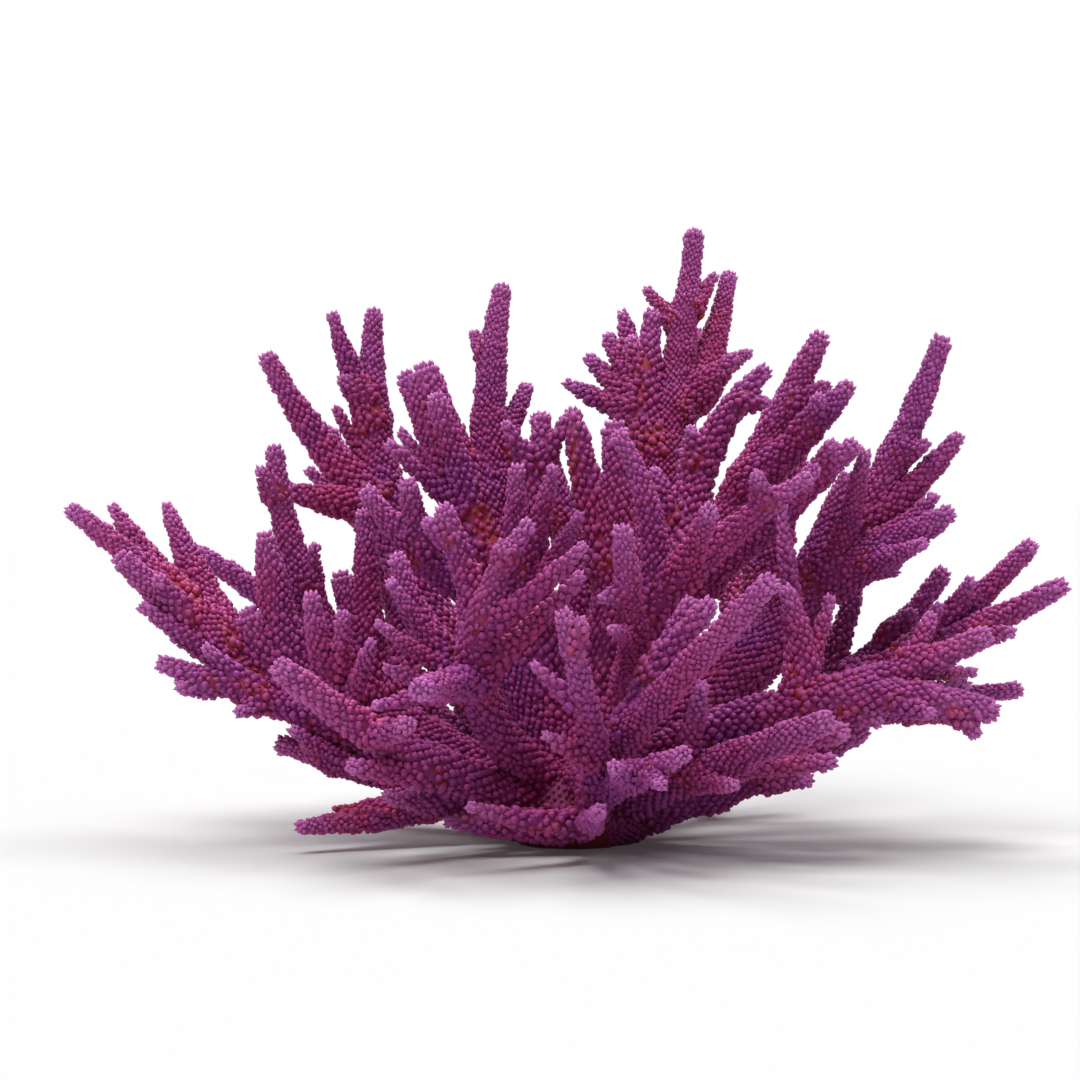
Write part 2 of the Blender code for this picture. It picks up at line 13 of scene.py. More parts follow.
import bpy
import numpy as np
from mathutils import Euler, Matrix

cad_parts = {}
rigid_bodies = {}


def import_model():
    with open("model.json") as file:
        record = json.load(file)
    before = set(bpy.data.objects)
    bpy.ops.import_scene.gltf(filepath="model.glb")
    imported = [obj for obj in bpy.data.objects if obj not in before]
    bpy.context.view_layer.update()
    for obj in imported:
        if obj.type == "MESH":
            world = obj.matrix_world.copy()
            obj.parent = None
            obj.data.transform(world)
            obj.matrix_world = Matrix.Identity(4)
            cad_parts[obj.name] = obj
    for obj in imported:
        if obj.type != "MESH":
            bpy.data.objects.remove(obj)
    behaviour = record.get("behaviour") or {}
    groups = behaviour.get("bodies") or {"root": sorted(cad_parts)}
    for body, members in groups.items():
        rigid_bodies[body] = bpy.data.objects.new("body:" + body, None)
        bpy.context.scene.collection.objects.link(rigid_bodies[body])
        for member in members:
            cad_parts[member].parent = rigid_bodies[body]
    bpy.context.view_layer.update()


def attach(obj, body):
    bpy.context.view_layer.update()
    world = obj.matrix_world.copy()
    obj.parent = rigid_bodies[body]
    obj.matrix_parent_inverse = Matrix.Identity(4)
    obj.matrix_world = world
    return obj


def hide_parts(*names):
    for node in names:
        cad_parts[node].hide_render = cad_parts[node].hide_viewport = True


MM = 0.001
BODY = "root"
GOLDEN_TURN = math.pi * (3.0 - math.sqrt(5.0))
UP = np.array((0.0, 0.0, 1.0))

FIRST_SEED = 100
FOOT_SEED = 7
FOOT_CUP_SEED = 99

LOG = logging.getLogger("coral")

Point = tuple[float, float, float]
Span = tuple[float, float]
Colour = tuple[float, float, float, float]
Value = bpy.types.NodeSocket | float
Inputs = dict[str | int, object]

BLACK: Colour = (0.0, 0.0, 0.0, 1.0)
WHITE: Colour = (1.0, 1.0, 1.0, 1.0)


@dataclass(frozen=True)
class Tine:
    """A side shoot: where it leaves the branch, its tip, and its radius at the root and the tip."""

    share: float
    tip: Point
    root: float = 5.0
    end: float = 2.7
    elbow: Point | None = None


@dataclass(frozen=True)
class Branch:
    """A branch of the colony with its side shoots."""

    name: str
    parent: str
    share: float
    tip: Point
    root: float
    end: float
    elbow: Point | None = None
    tines: tuple[Tine, ...] = ()


BRANCHES: tuple[Branch, ...] = (
    # left side
    Branch("arm_left", "holdfast", 0.45, (-209, -12, 133), 13.0, 5.4, (-112, -6, 34), (
        Tine(0.82, (-190, -20, 123), 5.8, 3.4),
        Tine(0.58, (-197, -22, 110), 7.2, 3.1),
        Tine(0.60, (-142, -10, 143), 11.0, 4.4),
        Tine(0.62, (-150, -12, 109), 9.0, 6.0),
    )),
    Branch("left_fan", "arm_left", 0.72, (-235, 12, 154), 7.7, 4.3, (-190, -2, 122), (
        Tine(0.30, (-217, 27, 155), 8.5, 2.9),
        Tine(0.04, (-193, 40, 155), 10.6, 2.8),
    )),
    Branch("left_low_branch", "arm_left", 0.46, (-188, -34, 85), 7.2, 4.5, (-138, -30, 68), (
        Tine(0.50, (-167, -32, 92), 5.3, 2.8),
        Tine(0.72, (-178, -38, 74), 4.8, 2.6),
        Tine(0.50, (-151, -40, 63), 4.8, 2.6),
    )),
    Branch("arm_left_upright", "holdfast", 0.7, (-140, 18, 183), 12.4, 4.5, (-129, 16, 42), (
        Tine(0.90, (-146, 10, 172), 4.8, 2.6),
        Tine(0.72, (-120, 8, 137), 5.3, 2.7),
        Tine(0.46, (-98, 8, 153), 8.8, 3.4),
        Tine(0.44, (-109, 14, 124), 9.0, 4.6),
    )),
    Branch("left_front_posts", "arm_left", 0.50, (-118, -46, 117), 7.3, 4.1, (-112, -38, 70), (
        Tine(0.12, (-103, -52, 108), 5.9, 3.0),
        Tine(0.06, (-90, -60, 96), 5.5, 2.8),
    )),
    Branch("arm_left_front", "holdfast", 0.4, (-127, -122, 90), 10.2, 5.5, (-62, -76, 30), (
        Tine(0.70, (-70, -136, 66), 5.8, 3.9),
        Tine(0.48, (-97, -112, 46), 6.2, 3.2),
        Tine(0.22, (-84, -68, 29), 9.0, 3.4),
    )),
    Branch("arm_low_left", "holdfast", 0.25, (-136, -14, 47), 9.2, 4.5, (-74, -14, 25), (
        Tine(0.76, (-128, -30, 55), 5.3, 2.8),
        Tine(0.40, (-124, -46, 12), 9.5, 3.2),
    )),
    Branch("arm_upper_left", "holdfast", 0.9, (-98, 102, 251), 15.6, 4.5, (-106, 74, 100), (
        Tine(0.78, (-118, 92, 248), 6.9, 3.2),
        Tine(0.84, (-113, 82, 216), 7.5, 2.8),
        Tine(0.70, (-117, 98, 202), 5.1, 2.6),
    )),
    Branch("upper_left_outer", "arm_upper_left", 0.64, (-150, 86, 228), 9.4, 4.3, (-118, 82, 168), (
        Tine(0.02, (-145, 56, 164), 9.4, 3.0),
    )),
    # front left
    Branch("arm_front_left", "holdfast", 0.6, (-20, -92, 149), 10.3, 3.4, (-77, -100, 74), (
        Tine(0.88, (-32, -104, 140), 4.6, 2.8),
        Tine(0.66, (3, -116, 140), 5.4, 2.9),
        Tine(0.52, (2, -102, 127), 5.4, 3.0),
    )),
    Branch("front_left_lilac", "arm_front_left", 0.56, (-59, -74, 156), 7.4, 4.4, (-42, -64, 116), (
        Tine(0.78, (-66, -74, 149), 4.2, 2.6),
    )),
    Branch("front_left_fan", "arm_front_left", 0.46, (-80, -50, 134), 6.8, 4.1, (-66, -54, 92), (
        Tine(0.30, (-82, -66, 123), 4.8, 2.7),
        Tine(0.16, (-87, -76, 105), 4.6, 2.5),
        Tine(0.06, (-84, -72, 85), 4.6, 2.5),
    )),
    Branch("front_left_facing", "arm_front_left", 0.50, (-66, -152, 81), 7.5, 5.0, (-58, -116, 80), (
        Tine(0.40, (-86, -120, 72), 4.5, 2.4),
    )),
    Branch("arm_centre_left", "holdfast", 1.0, (-34, 62, 260), 13.8, 4.8, (-56, -2, 124), (
        Tine(0.86, (-48, 60, 237), 5.1, 2.6),
        Tine(0.66, (-22, 54, 212), 7.5, 3.4),
    )),
    Branch("left_centre_lilac", "arm_centre_left", 0.36, (-96, -20, 163), 8.0, 4.6, (-66, -16, 122), (
        Tine(0.55, (-76, -28, 167), 7.0, 4.3),
    )),
    Branch("centre_left_cluster", "arm_centre_left", 0.46, (-71, 32, 222), 10.2, 6.2, None, (
        Tine(0.42, (-80, 34, 217), 10.0, 4.6),
        Tine(0.28, (-82, 38, 190), 5.3, 2.7),
        Tine(0.22, (-65, 10, 207), 6.4, 5.1),
        Tine(0.26, (-86, 4, 184), 5.4, 3.0),
    )),
    # centre
    Branch("arm_centre", "holdfast", 1.0, (-14, 14, 198), 10.4, 4.1, (-30, -8, 106), (
        Tine(0.84, (-32, 2, 193), 4.8, 2.6),
        Tine(0.84, (-4, 6, 196), 5.3, 2.7),
    )),
    Branch("centre_posts", "arm_centre", 0.50, (-26, -32, 174), 6.8, 4.1, (-30, -26, 122), (
        Tine(0.30, (-10, -40, 173), 6.2, 3.0),
        Tine(0.16, (2, -56, 152), 5.5, 2.8),
    )),
    Branch("arm_centre_right", "holdfast", 1.0, (18, -6, 194), 12.8, 5.8, (24, -4, 90), (
        Tine(0.62, (-2, 6, 200), 8.6, 4.0),
    )),
    Branch("arm_centre_front", "holdfast", 0.8, (18, -46, 188), 9.6, 3.9, (60, -62, 122), ()),
    Branch("front_centre_post", "arm_centre_front", 0.28, (19, -94, 148), 8.2, 4.8, (26, -86, 88), (
        Tine(0.72, (10, -88, 116), 3.6, 2.4),
        Tine(0.50, (14, -108, 104), 4.0, 2.4),
    )),
    Branch("right_centre_front", "arm_centre_front", 0.46, (103, -62, 169), 8.4, 3.4, (50, -58, 134), (
        Tine(0.80, (78, -74, 170), 4.8, 2.8),
        Tine(0.26, (58, -84, 155), 6.8, 3.9),
    )),
    # back centre
    Branch("arm_back_centre", "holdfast", 1.0, (63, 152, 294), 14.0, 5.0, (44, 104, 128), (
        Tine(0.86, (73, 152, 271), 5.5, 2.8),
        Tine(0.84, (38, 152, 264), 5.3, 2.6),
    )),
    Branch("back_centre_right", "arm_back_centre", 0.68, (81, 162, 273), 9.2, 4.2, (71, 138, 216), (
        Tine(0.52, (66, 172, 243), 4.8, 2.6),
        Tine(0.44, (92, 160, 232), 6.6, 2.6),
        Tine(0.20, (82, 124, 229), 9.6, 2.8),
    )),
    Branch("back_centre_left", "arm_back_centre", 0.60, (41, 136, 252), 8.7, 4.2, (34, 116, 200), (
        Tine(0.62, (29, 128, 238), 5.3, 2.8),
        Tine(0.05, (26, 150, 252), 10.0, 3.2),
        Tine(0.45, (8, 148, 229), 8.2, 3.0),
        Tine(0.40, (-3, 142, 216), 7.6, 2.6),
        Tine(0.50, (18, 146, 240), 7.0, 4.1),
    )),
    # right side
    Branch("arm_right_centre", "holdfast", 0.9, (118, 42, 237), 13.5, 5.4, (64, 42, 128), (
        Tine(0.82, (120, 34, 212), 5.5, 2.8),
    )),
    Branch("right_inner_branch", "arm_right_centre", 0.46, (94, 66, 221), 10.6, 4.3, (46, 66, 174), (
        Tine(0.84, (93, 54, 203), 4.8, 2.6),
        Tine(0.46, (56, 54, 192), 5.5, 2.8),
        Tine(0.18, (38, 50, 172), 5.5, 2.8),
    )),
    Branch("right_centre_fork", "arm_right_centre", 0.64, (129, 18, 212), 9.0, 4.5, None, (
        Tine(0.55, (114, 10, 206), 5.3, 2.8),
    )),
    Branch("right_centre_lower", "arm_right_centre", 0.42, (128, -18, 184), 9.4, 4.5, (82, -2, 142), (
        Tine(0.78, (116, -28, 184), 5.1, 2.8),
        Tine(0.60, (106, -44, 172), 6.0, 3.4),
    )),
    Branch("arm_right_upper", "holdfast", 0.75, (172, 22, 234), 15.0, 4.9, (126, 24, 88), (
        Tine(0.58, (179, 12, 188), 9.0, 3.9),
        Tine(0.80, (163, 6, 184), 5.1, 2.7),
        Tine(0.58, (152, 30, 124), 5.8, 3.0),
        Tine(0.46, (127, 22, 170), 9.0, 3.4),
    )),
    Branch("right_upper_fan", "arm_right_upper", 0.56, (172, -14, 153), 11.5, 4.2, (136, 0, 128), (
        Tine(0.46, (166, 2, 160), 7.6, 2.8),
        Tine(0.36, (156, -38, 139), 6.0, 3.0),
        Tine(0.12, (132, -14, 180), 6.9, 3.2),
    )),
    Branch("arm_right_middle", "holdfast", 0.45, (174, 24, 125), 10.6, 4.5, (114, 26, 37), (
        Tine(0.78, (158, 14, 106), 4.9, 3.0),
        Tine(0.58, (136, 40, 124), 7.2, 3.0),
    )),
    Branch("arm_right_low", "holdfast", 0.35, (186, -62, 64), 11.6, 5.4, (92, -70, 92), (
        Tine(0.88, (176, -66, 55), 4.8, 2.6),
        Tine(0.74, (155, -76, 65), 5.1, 2.7),
        Tine(0.62, (134, -64, 60), 5.3, 2.7),
        Tine(0.78, (174, -46, 76), 5.6, 2.8),
    )),
    Branch("right_front_posts", "arm_right_low", 0.52, (92, -52, 120), 6.0, 3.6, (108, -54, 86), (
        Tine(0.12, (114, -38, 115), 5.2, 2.8),
        Tine(0.20, (93, -26, 156), 5.6, 2.8),
    )),
    Branch("right_low_fork", "arm_right_low", 0.52, (184, -50, 99), 8.8, 5.0, (142, -52, 78), (
        Tine(0.56, (160, -34, 107), 5.5, 3.0),
        Tine(0.60, (181, -24, 80), 4.2, 2.7),
    )),
    Branch("right_far_branch", "arm_right_middle", 0.62, (223, -20, 120), 9.8, 4.5, (158, 0, 82), (
        Tine(0.66, (198, -24, 98), 5.1, 2.7),
    )),
    Branch("right_far_upper", "right_far_branch", 0.34, (212, 4, 138), 7.7, 4.5, None, (
        Tine(0.36, (181, -10, 122), 5.3, 2.9),
        Tine(0.12, (166, -14, 110), 5.1, 2.8),
    )),
    # front right
    Branch("arm_front_right", "holdfast", 0.55, (80, -152, 127), 8.6, 5.2, (12, -108, 52), ()),
    Branch("front_right_second", "arm_front_right", 0.44, (58, -96, 115), 6.8, 4.6, (27, -84, 78), (
        Tine(0.42, (50, -80, 116), 6.5, 4.0),
    )),
    Branch("arm_right_front", "holdfast", 0.35, (108, -114, 66), 10.4, 5.3, (46, -74, 36), (
        Tine(0.84, (116, -98, 60), 5.6, 3.9),
        Tine(0.62, (113, -78, 45), 5.6, 3.8),
        Tine(0.50, (67, -114, 38), 5.0, 2.8),
        Tine(0.46, (54, -92, 80), 6.0, 3.0),
    )),
    Branch("arm_low_right", "holdfast", 0.2, (131, -42, 56), 10.4, 4.3, (68, -32, 22), (
        Tine(0.62, (104, -54, 34), 5.8, 2.9),
    )),
    # front
    Branch("arm_front", "holdfast", 0.4, (-7, -142, 113), 8.2, 3.8, (20, -108, 20), (
        Tine(0.90, (1, -144, 110), 3.6, 2.5),
        Tine(0.74, (-19, -124, 90), 3.8, 2.2),
        Tine(0.56, (-14, -122, 60), 4.2, 2.4),
    )),
    Branch("front_low_branch", "arm_front", 0.36, (44, -150, 55), 7.6, 3.8, (20, -118, 40), (
        Tine(0.46, (14, -150, 50), 5.0, 3.2),
        Tine(0.70, (34, -152, 42), 4.3, 2.6),
    )),
    Branch("arm_low_front", "holdfast", 0.25, (9, -142, 31), 6.8, 2.8, (4, -80, 14), (
        Tine(0.50, (-46, -120, 30), 4.8, 2.7),
        Tine(0.30, (-58, -62, 17), 7.5, 3.0),
    )),
    # right back
    Branch("arm_low_right_back", "holdfast", 0.25, (209, 18, 69), 10.4, 4.3, (98, 44, 56), (
        Tine(0.56, (158, 74, 70), 6.9, 3.2),
        Tine(0.74, (182, 48, 53), 5.3, 2.7),
    )),
    Branch("arm_back_right", "holdfast", 0.5, (128, 150, 128), 11.6, 5.0, (70, 78, 46), (
        Tine(0.62, (134, 126, 92), 8.8, 3.4),
        Tine(0.66, (112, 176, 98), 6.9, 3.2),
        Tine(0.84, (136, 136, 140), 5.3, 2.8),
        Tine(0.66, (126, 96, 98), 7.4, 3.4),
    )),
    Branch("back_right_upright", "arm_back_right", 0.48, (114, 98, 206), 8.8, 4.5, (104, 84, 120), (
        Tine(0.56, (112, 140, 178), 6.2, 3.0),
        Tine(0.40, (84, 130, 172), 6.2, 3.0),
        Tine(0.72, (104, 112, 196), 6.4, 2.6),
    )),
    Branch("back_right_fork", "arm_back_right", 0.56, (86, 182, 152), 8.4, 4.5, (92, 134, 90), (
        Tine(0.62, (104, 186, 136), 5.5, 2.8),
        Tine(0.46, (68, 164, 138), 6.0, 3.0),
    )),
    # back
    Branch("arm_back", "holdfast", 0.55, (14, 206, 114), 11.8, 5.0, (6, 112, 40), (
        Tine(0.64, (46, 196, 98), 6.9, 3.2),
        Tine(0.70, (-18, 198, 88), 6.4, 3.0),
        Tine(0.86, (26, 196, 124), 5.1, 2.7),
    )),
    Branch("back_upright", "arm_back", 0.44, (-18, 144, 200), 9.0, 4.5, (6, 120, 122), (
        Tine(0.56, (8, 164, 182), 6.2, 3.0),
        Tine(0.62, (-34, 134, 182), 5.8, 2.8),
        Tine(0.36, (20, 142, 152), 5.8, 3.0),
    )),
    Branch("back_left_fork", "arm_back", 0.52, (-46, 180, 148), 8.4, 4.5, (-12, 136, 84), (
        Tine(0.62, (-26, 190, 140), 5.5, 2.8),
        Tine(0.42, (-52, 156, 118), 6.0, 3.0),
    )),
    # left back
    Branch("arm_back_left", "holdfast", 0.55, (-150, 138, 118), 11.8, 5.0, (-76, 74, 42), (
        Tine(0.62, (-118, 158, 96), 6.9, 3.2),
        Tine(0.70, (-158, 112, 96), 9.6, 3.0),
        Tine(0.84, (-134, 142, 128), 5.3, 2.7),
    )),
    Branch("back_left_outer", "arm_back_left", 0.46, (-182, 62, 133), 8.4, 4.3, (-124, 62, 94), (
        Tine(0.56, (-168, 86, 126), 5.8, 2.8),
        Tine(0.40, (-140, 82, 144), 6.0, 3.0),
    )),
    Branch("back_left_upright", "arm_back_left", 0.56, (-124, 140, 192), 8.8, 4.5, (-74, 108, 112), (
        Tine(0.58, (-92, 136, 180), 6.2, 3.0),
        Tine(0.66, (-132, 120, 172), 5.8, 2.8),
        Tine(0.34, (-72, 130, 146), 6.2, 3.0),
    )),
    # low back
    Branch("arm_low_left_back", "holdfast", 0.2, (-138, 112, 62), 10.2, 4.3, (-78, 62, 16), (
        Tine(0.60, (-112, 128, 42), 6.4, 3.1),
        Tine(0.64, (-138, 84, 70), 5.5, 2.8),
    )),
    Branch("arm_low_back", "holdfast", 0.2, (-42, 168, 44), 10.2, 4.3, (-26, 86, 8), (
        Tine(0.56, (-78, 148, 48), 6.4, 3.1),
        Tine(0.66, (-14, 158, 28), 5.5, 2.8),
    )),
    Branch("arm_low_back_right", "holdfast", 0.2, (98, 140, 46), 10.2, 4.3, (50, 74, 8), (
        Tine(0.56, (124, 108, 44), 6.4, 3.1),
        Tine(0.62, (64, 150, 32), 5.8, 2.9),
    )),
)


@dataclass(frozen=True)
class Growth:
    """How the colony grows, the same for every branch.

    Lengths are in millimetres. The skin of a shaft lies `sunk` under the full radius, which the cups reach.
    A foot level is a height and its share of the widest radius. A ripple is a strength, a pace and a phase.
    """

    droop: float = 0.06
    flare: float = 0.35
    flare_length: float = 30.0
    bluntness: float = 1.7
    tip_round: float = 0.8
    socket: float = 2.6
    socket_slope: float = 0.8
    sunk: float = 1.55
    covered: float = 0.5
    web: float = 7.0
    foot_web: float = 8.4
    web_height: float = 0.32
    pale_length: float = 7.0
    ground: float = 0.8
    foot_cut: float = 28.0
    foot_widest: float = 42.0
    foot_top: float = 42.0
    foot_levels: tuple[Span, ...] = ((8.5, 0.95), (17.0, 1.0), (30.2, 0.78), (39.5, 0.42))
    ripples: tuple[Point, ...] = ((0.045, 0.21, 1.0), (0.03, 0.47, 2.3))

    def swelling(self, web: np.ndarray) -> np.ndarray:
        """How far a web of a given strength swells the skin."""
        return web * web * self.web * self.web_height


GROWTH = Growth()


def unit(vectors: np.ndarray) -> np.ndarray:
    """The vectors at length one."""
    return vectors / np.maximum(np.linalg.norm(vectors, axis=-1, keepdims=True), 1e-9)


@dataclass(eq=False)
class Shoot:
    """One tapered tube of the colony along a smooth curve.

    Args:
        start: where the curve leaves its parent's middle line
        elbow: the point that the curve bends towards
        tip: where it ends
        root: its radius at the start
        end: its radius at the tip
        phase: a number that sets its waves and the turn of its cups apart from other shoots
        socket: the radius of the parent where it springs
    """

    start: np.ndarray
    elbow: np.ndarray
    tip: np.ndarray
    root: float
    end: float
    phase: float
    socket: float
    relatives: list["Shoot"] = field(default_factory=list)

    CURVE_POINTS = 65
    LINE_STEP = 6.0
    SOCKET_SHARE = 0.9

    def __post_init__(self) -> None:
        """Measures the curve and sets up the coarse line, clear of the parent, for distances."""
        shares = np.linspace(0.0, 1.0, self.CURVE_POINTS)
        places = self.at(shares)
        steps = np.linalg.norm(np.diff(places, axis=0), axis=1)
        self.run_table = np.concatenate(([0.0], np.cumsum(steps)))
        self.share_table = shares
        self.length = float(self.run_table[-1])
        out = min(self.socket * self.SOCKET_SHARE, 0.5 * self.length)
        runs = np.linspace(out, self.length, self.line_count())
        self.line = self.at(self.share_of(runs))
        self.line_radius = self.radius(runs)

    def line_count(self) -> int:
        """How many points the coarse line has."""
        return max(4, round(self.length / self.LINE_STEP) + 1)

    def at(self, shares: np.ndarray) -> np.ndarray:
        """Places on the curve.

        Args:
            shares: curve parameters from 0 to 1
        Returns:
            one row for each share
        """
        s = np.asarray(shares, float)[:, None]
        return self.start * (1 - s) ** 2 + self.elbow * (2 * s * (1 - s)) + self.tip * s**2

    def share_of(self, runs: np.ndarray) -> np.ndarray:
        """The curve parameters at distances along the curve."""
        return np.interp(runs, self.run_table, self.share_table)

    def radius(self, runs: np.ndarray) -> np.ndarray:
        """The full radius at distances along the curve, cups included.

        Args:
            runs: distances from the start, in millimetres
        Returns:
            one radius for each distance
        """
        taper = self.root + (self.end - self.root) * (runs / self.length) ** GROWTH.bluntness
        near = np.maximum(0.0, 1.0 - runs / GROWTH.flare_length)
        widest = self.socket - GROWTH.socket + GROWTH.socket_slope * runs
        return np.minimum(taper * (1.0 + GROWTH.flare * near * near), widest)

    def outside(self, points: np.ndarray) -> np.ndarray:
        """How far points lie outside the tube's full radius, negative inside it.

        Args:
            points: one row for each point
        Returns:
            one distance for each point
        """
        first = self.line[:-1]
        way = self.line[1:] - first
        offset = points[:, None, :] - first[None]
        share = np.clip((offset * way).sum(2) / (way * way).sum(1), 0.0, 1.0)
        gap = np.linalg.norm(offset - share[..., None] * way, axis=2)
        wide = self.line_radius[:-1] + share * np.diff(self.line_radius)
        return (gap - wide).min(axis=1)

    def box(self, margin: float) -> tuple[np.ndarray, np.ndarray]:
        """The lowest and highest corner of a box round the tube."""
        reach = self.line_radius.max() + margin
        return self.line.min(axis=0) - reach, self.line.max(axis=0) + reach

    def near(self, other: "Shoot", margin: float) -> bool:
        """Whether another tube's box comes near this one's.

        Args:
            other: the other tube
            margin: how near, in millimetres
        Returns:
            true where the boxes meet
        """
        low, high = self.box(margin)
        other_low, other_high = other.box(0.0)
        return bool((low < other_high).all() and (other_low < high).all())


@dataclass
class Rings:
    """Cross-sections along a shoot: their middles, directions, radii and distances from the root."""

    middle: np.ndarray
    along: np.ndarray
    across: np.ndarray
    over: np.ndarray
    radius: np.ndarray
    run: np.ndarray

    def between(self, rows: np.ndarray, runs: np.ndarray) -> np.ndarray:
        """Values between the cross-sections.

        Args:
            rows: one of the middles or directions
            runs: distances from the root
        Returns:
            one row for each distance
        """
        return np.stack([np.interp(runs, self.run, rows[:, axis]) for axis in range(3)], axis=1)


def rings_of(shoot: Shoot, spacing: float) -> Rings:
    """Cuts a shoot into cross-sections.

    Args:
        shoot: the tube
        spacing: the distance between them
    Returns:
        the cross-sections, with directions that turn as little as they can
    """
    count = max(5, round(shoot.length / spacing) + 1)
    run = np.linspace(0.0, shoot.length - GROWTH.tip_round * shoot.end, count)
    middle = shoot.at(shoot.share_of(run))
    along = unit(np.gradient(middle, axis=0))
    across = np.empty_like(along)
    last = np.cross(along[0], UP if abs(along[0][2]) < 0.9 else np.array((1.0, 0.0, 0.0)))
    for index, direction in enumerate(along):
        last = last - direction * (last @ direction)
        last = last / np.linalg.norm(last)
        across[index] = last
    over = np.cross(along, across)
    wave = 1.0
    for strength, pace, phase in GROWTH.ripples:
        wave = wave + strength * np.sin(run * pace + phase * shoot.phase)
    return Rings(middle, along, across, over, shoot.radius(run) * wave, run)


def tube_faces(rings: int, sides: int) -> list[tuple[int, ...]]:
    """The faces of a closed tube.

    Args:
        rings: how many rings of vertices it has
        sides: how many vertices are in a ring
    Returns:
        the faces, with the rings' vertices first, then the middle of the far end, then that of the near end
    """
    faces = []
    for ring in range(rings - 1):
        for side in range(sides):
            after = (side + 1) % sides
            low, high = ring * sides, (ring + 1) * sides
            faces.append((low + side, low + after, high + after, high + side))
    top = (rings - 1) * sides
    for side in range(sides):
        after = (side + 1) % sides
        faces.append((top + side, top + after, top + sides))
        faces.append((after, side, top + sides + 1))
    return faces


@dataclass
class Skin:
    """Faces and cup seats of one piece, gathered before the mesh is made.

    A seat is a loose vertex that one cup grows on.
    """

    places: list[np.ndarray] = field(default_factory=list)
    faces: list[tuple[int, ...]] = field(default_factory=list)
    values: dict[str, list[np.ndarray]] = field(default_factory=dict)
    count: int = 0

    NUMBERS = ("along", "pale", "web", "tint", "seat")
    VECTORS = ("aim", "lean", "grow")

    def add(self, places: np.ndarray, faces: list[tuple[int, ...]], **values: np.ndarray | float) -> None:
        """Adds vertices and faces.

        Args:
            places: the vertices, in millimetres
            faces: corners counted from the first of these vertices
            values: one value, or one for each vertex, by name
        """
        first = self.count
        self.places.append(places)
        self.faces.extend(tuple(first + corner for corner in face) for face in faces)
        for name in self.NUMBERS:
            value = np.broadcast_to(np.asarray(values.get(name, 0.0), float), (len(places),))
            self.values.setdefault(name, []).append(value)
        for name in self.VECTORS:
            value = np.broadcast_to(np.asarray(values.get(name, UP), float), (len(places), 3))
            self.values.setdefault(name, []).append(value)
        self.count += len(places)

    def add_seats(self, keep: np.ndarray, places: np.ndarray, **values: np.ndarray | float) -> None:
        """Adds the seats of cups.

        Args:
            keep: true for each seat that is kept
            places: where the seats are, in millimetres
            values: one value, or one for each seat, by name
        """
        kept = {name: value[keep] if np.ndim(value) else value for name, value in values.items()}
        self.add(places[keep], [], seat=1.0, **kept)

    def mesh(self, name: str) -> bpy.types.Mesh:
        """The gathered skin as a mesh in metres, with its values as point attributes.

        Args:
            name: the name of the mesh
        Returns:
            the mesh
        """
        data = bpy.data.meshes.new(name)
        data.from_pydata((np.concatenate(self.places) * MM).tolist(), [], self.faces)
        for key in self.NUMBERS:
            layer = data.attributes.new(key, "FLOAT", "POINT")
            layer.data.foreach_set("value", np.concatenate(self.values[key]).astype(np.float32))
        for key in self.VECTORS:
            layer = data.attributes.new(key, "FLOAT_VECTOR", "POINT")
            layer.data.foreach_set("vector", np.concatenate(self.values[key]).astype(np.float32).ravel())
        data.update()
        return data


class Neighbourhood:
    """Every shoot of the colony and its foot, asked where one shoot is covered or webbed by another."""

    FOOT_DEPTH = 0.4
    CLOSE = 4.0

    def __init__(self, shoots: list[Shoot]) -> None:
        """Keeps the shoots.

        Args:
            shoots: every shoot of the colony
        """
        self.shoots = shoots

    def foot_outside(self, points: np.ndarray) -> np.ndarray:
        """How far points lie outside the foot's dome.

        Args:
            points: one row for each point
        Returns:
            one distance for each point, negative inside the dome
        """
        levels, shares = zip(*GROWTH.foot_levels)
        cut = GROWTH.foot_cut
        heights = np.array((-cut, 0.0, *levels, GROWTH.foot_top))
        widths = np.array((cut, cut, *(GROWTH.foot_widest * share for share in shares), 0.0))
        reach = np.hypot(points[:, 0], points[:, 1])
        side = reach - np.interp(points[:, 2], heights, widths)
        above = points[:, 2] - np.interp(reach, widths[:2:-1], heights[:2:-1])
        return np.where(points[:, 2] > heights[3], np.minimum(side, above), side)

    def webbing(self, shoot: Shoot, points: np.ndarray) -> np.ndarray:
        """How strongly the web of a fork covers points of a shoot.

        Args:
            shoot: the shoot they are on
            points: the points, in millimetres
        Returns:
            a strength from 0 to 1 for each point
        """
        share = np.clip(1.0 - np.abs(self.foot_outside(points)) / GROWTH.foot_web, 0.0, 1.0)
        for other in shoot.relatives:
            gap = np.abs(other.outside(points) + GROWTH.sunk)
            share = np.maximum(share, np.clip(1.0 - gap / GROWTH.web, 0.0, 1.0))
        return share

    def uncovered(self, shoot: Shoot, points: np.ndarray, swollen: np.ndarray) -> np.ndarray:
        """Which points of a shoot's skin lie in the open, or just under another skin.

        Args:
            shoot: the shoot they are on
            points: the points, in millimetres
            swollen: how far the web of a fork swells the skin at each
        Returns:
            true for each point where a cup shows
        """
        free = self.foot_outside(points) > -self.FOOT_DEPTH
        for other in self.shoots:
            if other is shoot or not shoot.near(other, self.CLOSE):
                continue
            web = swollen if other in shoot.relatives else 0.0
            free &= other.outside(points) > web - GROWTH.sunk - GROWTH.covered
        return free


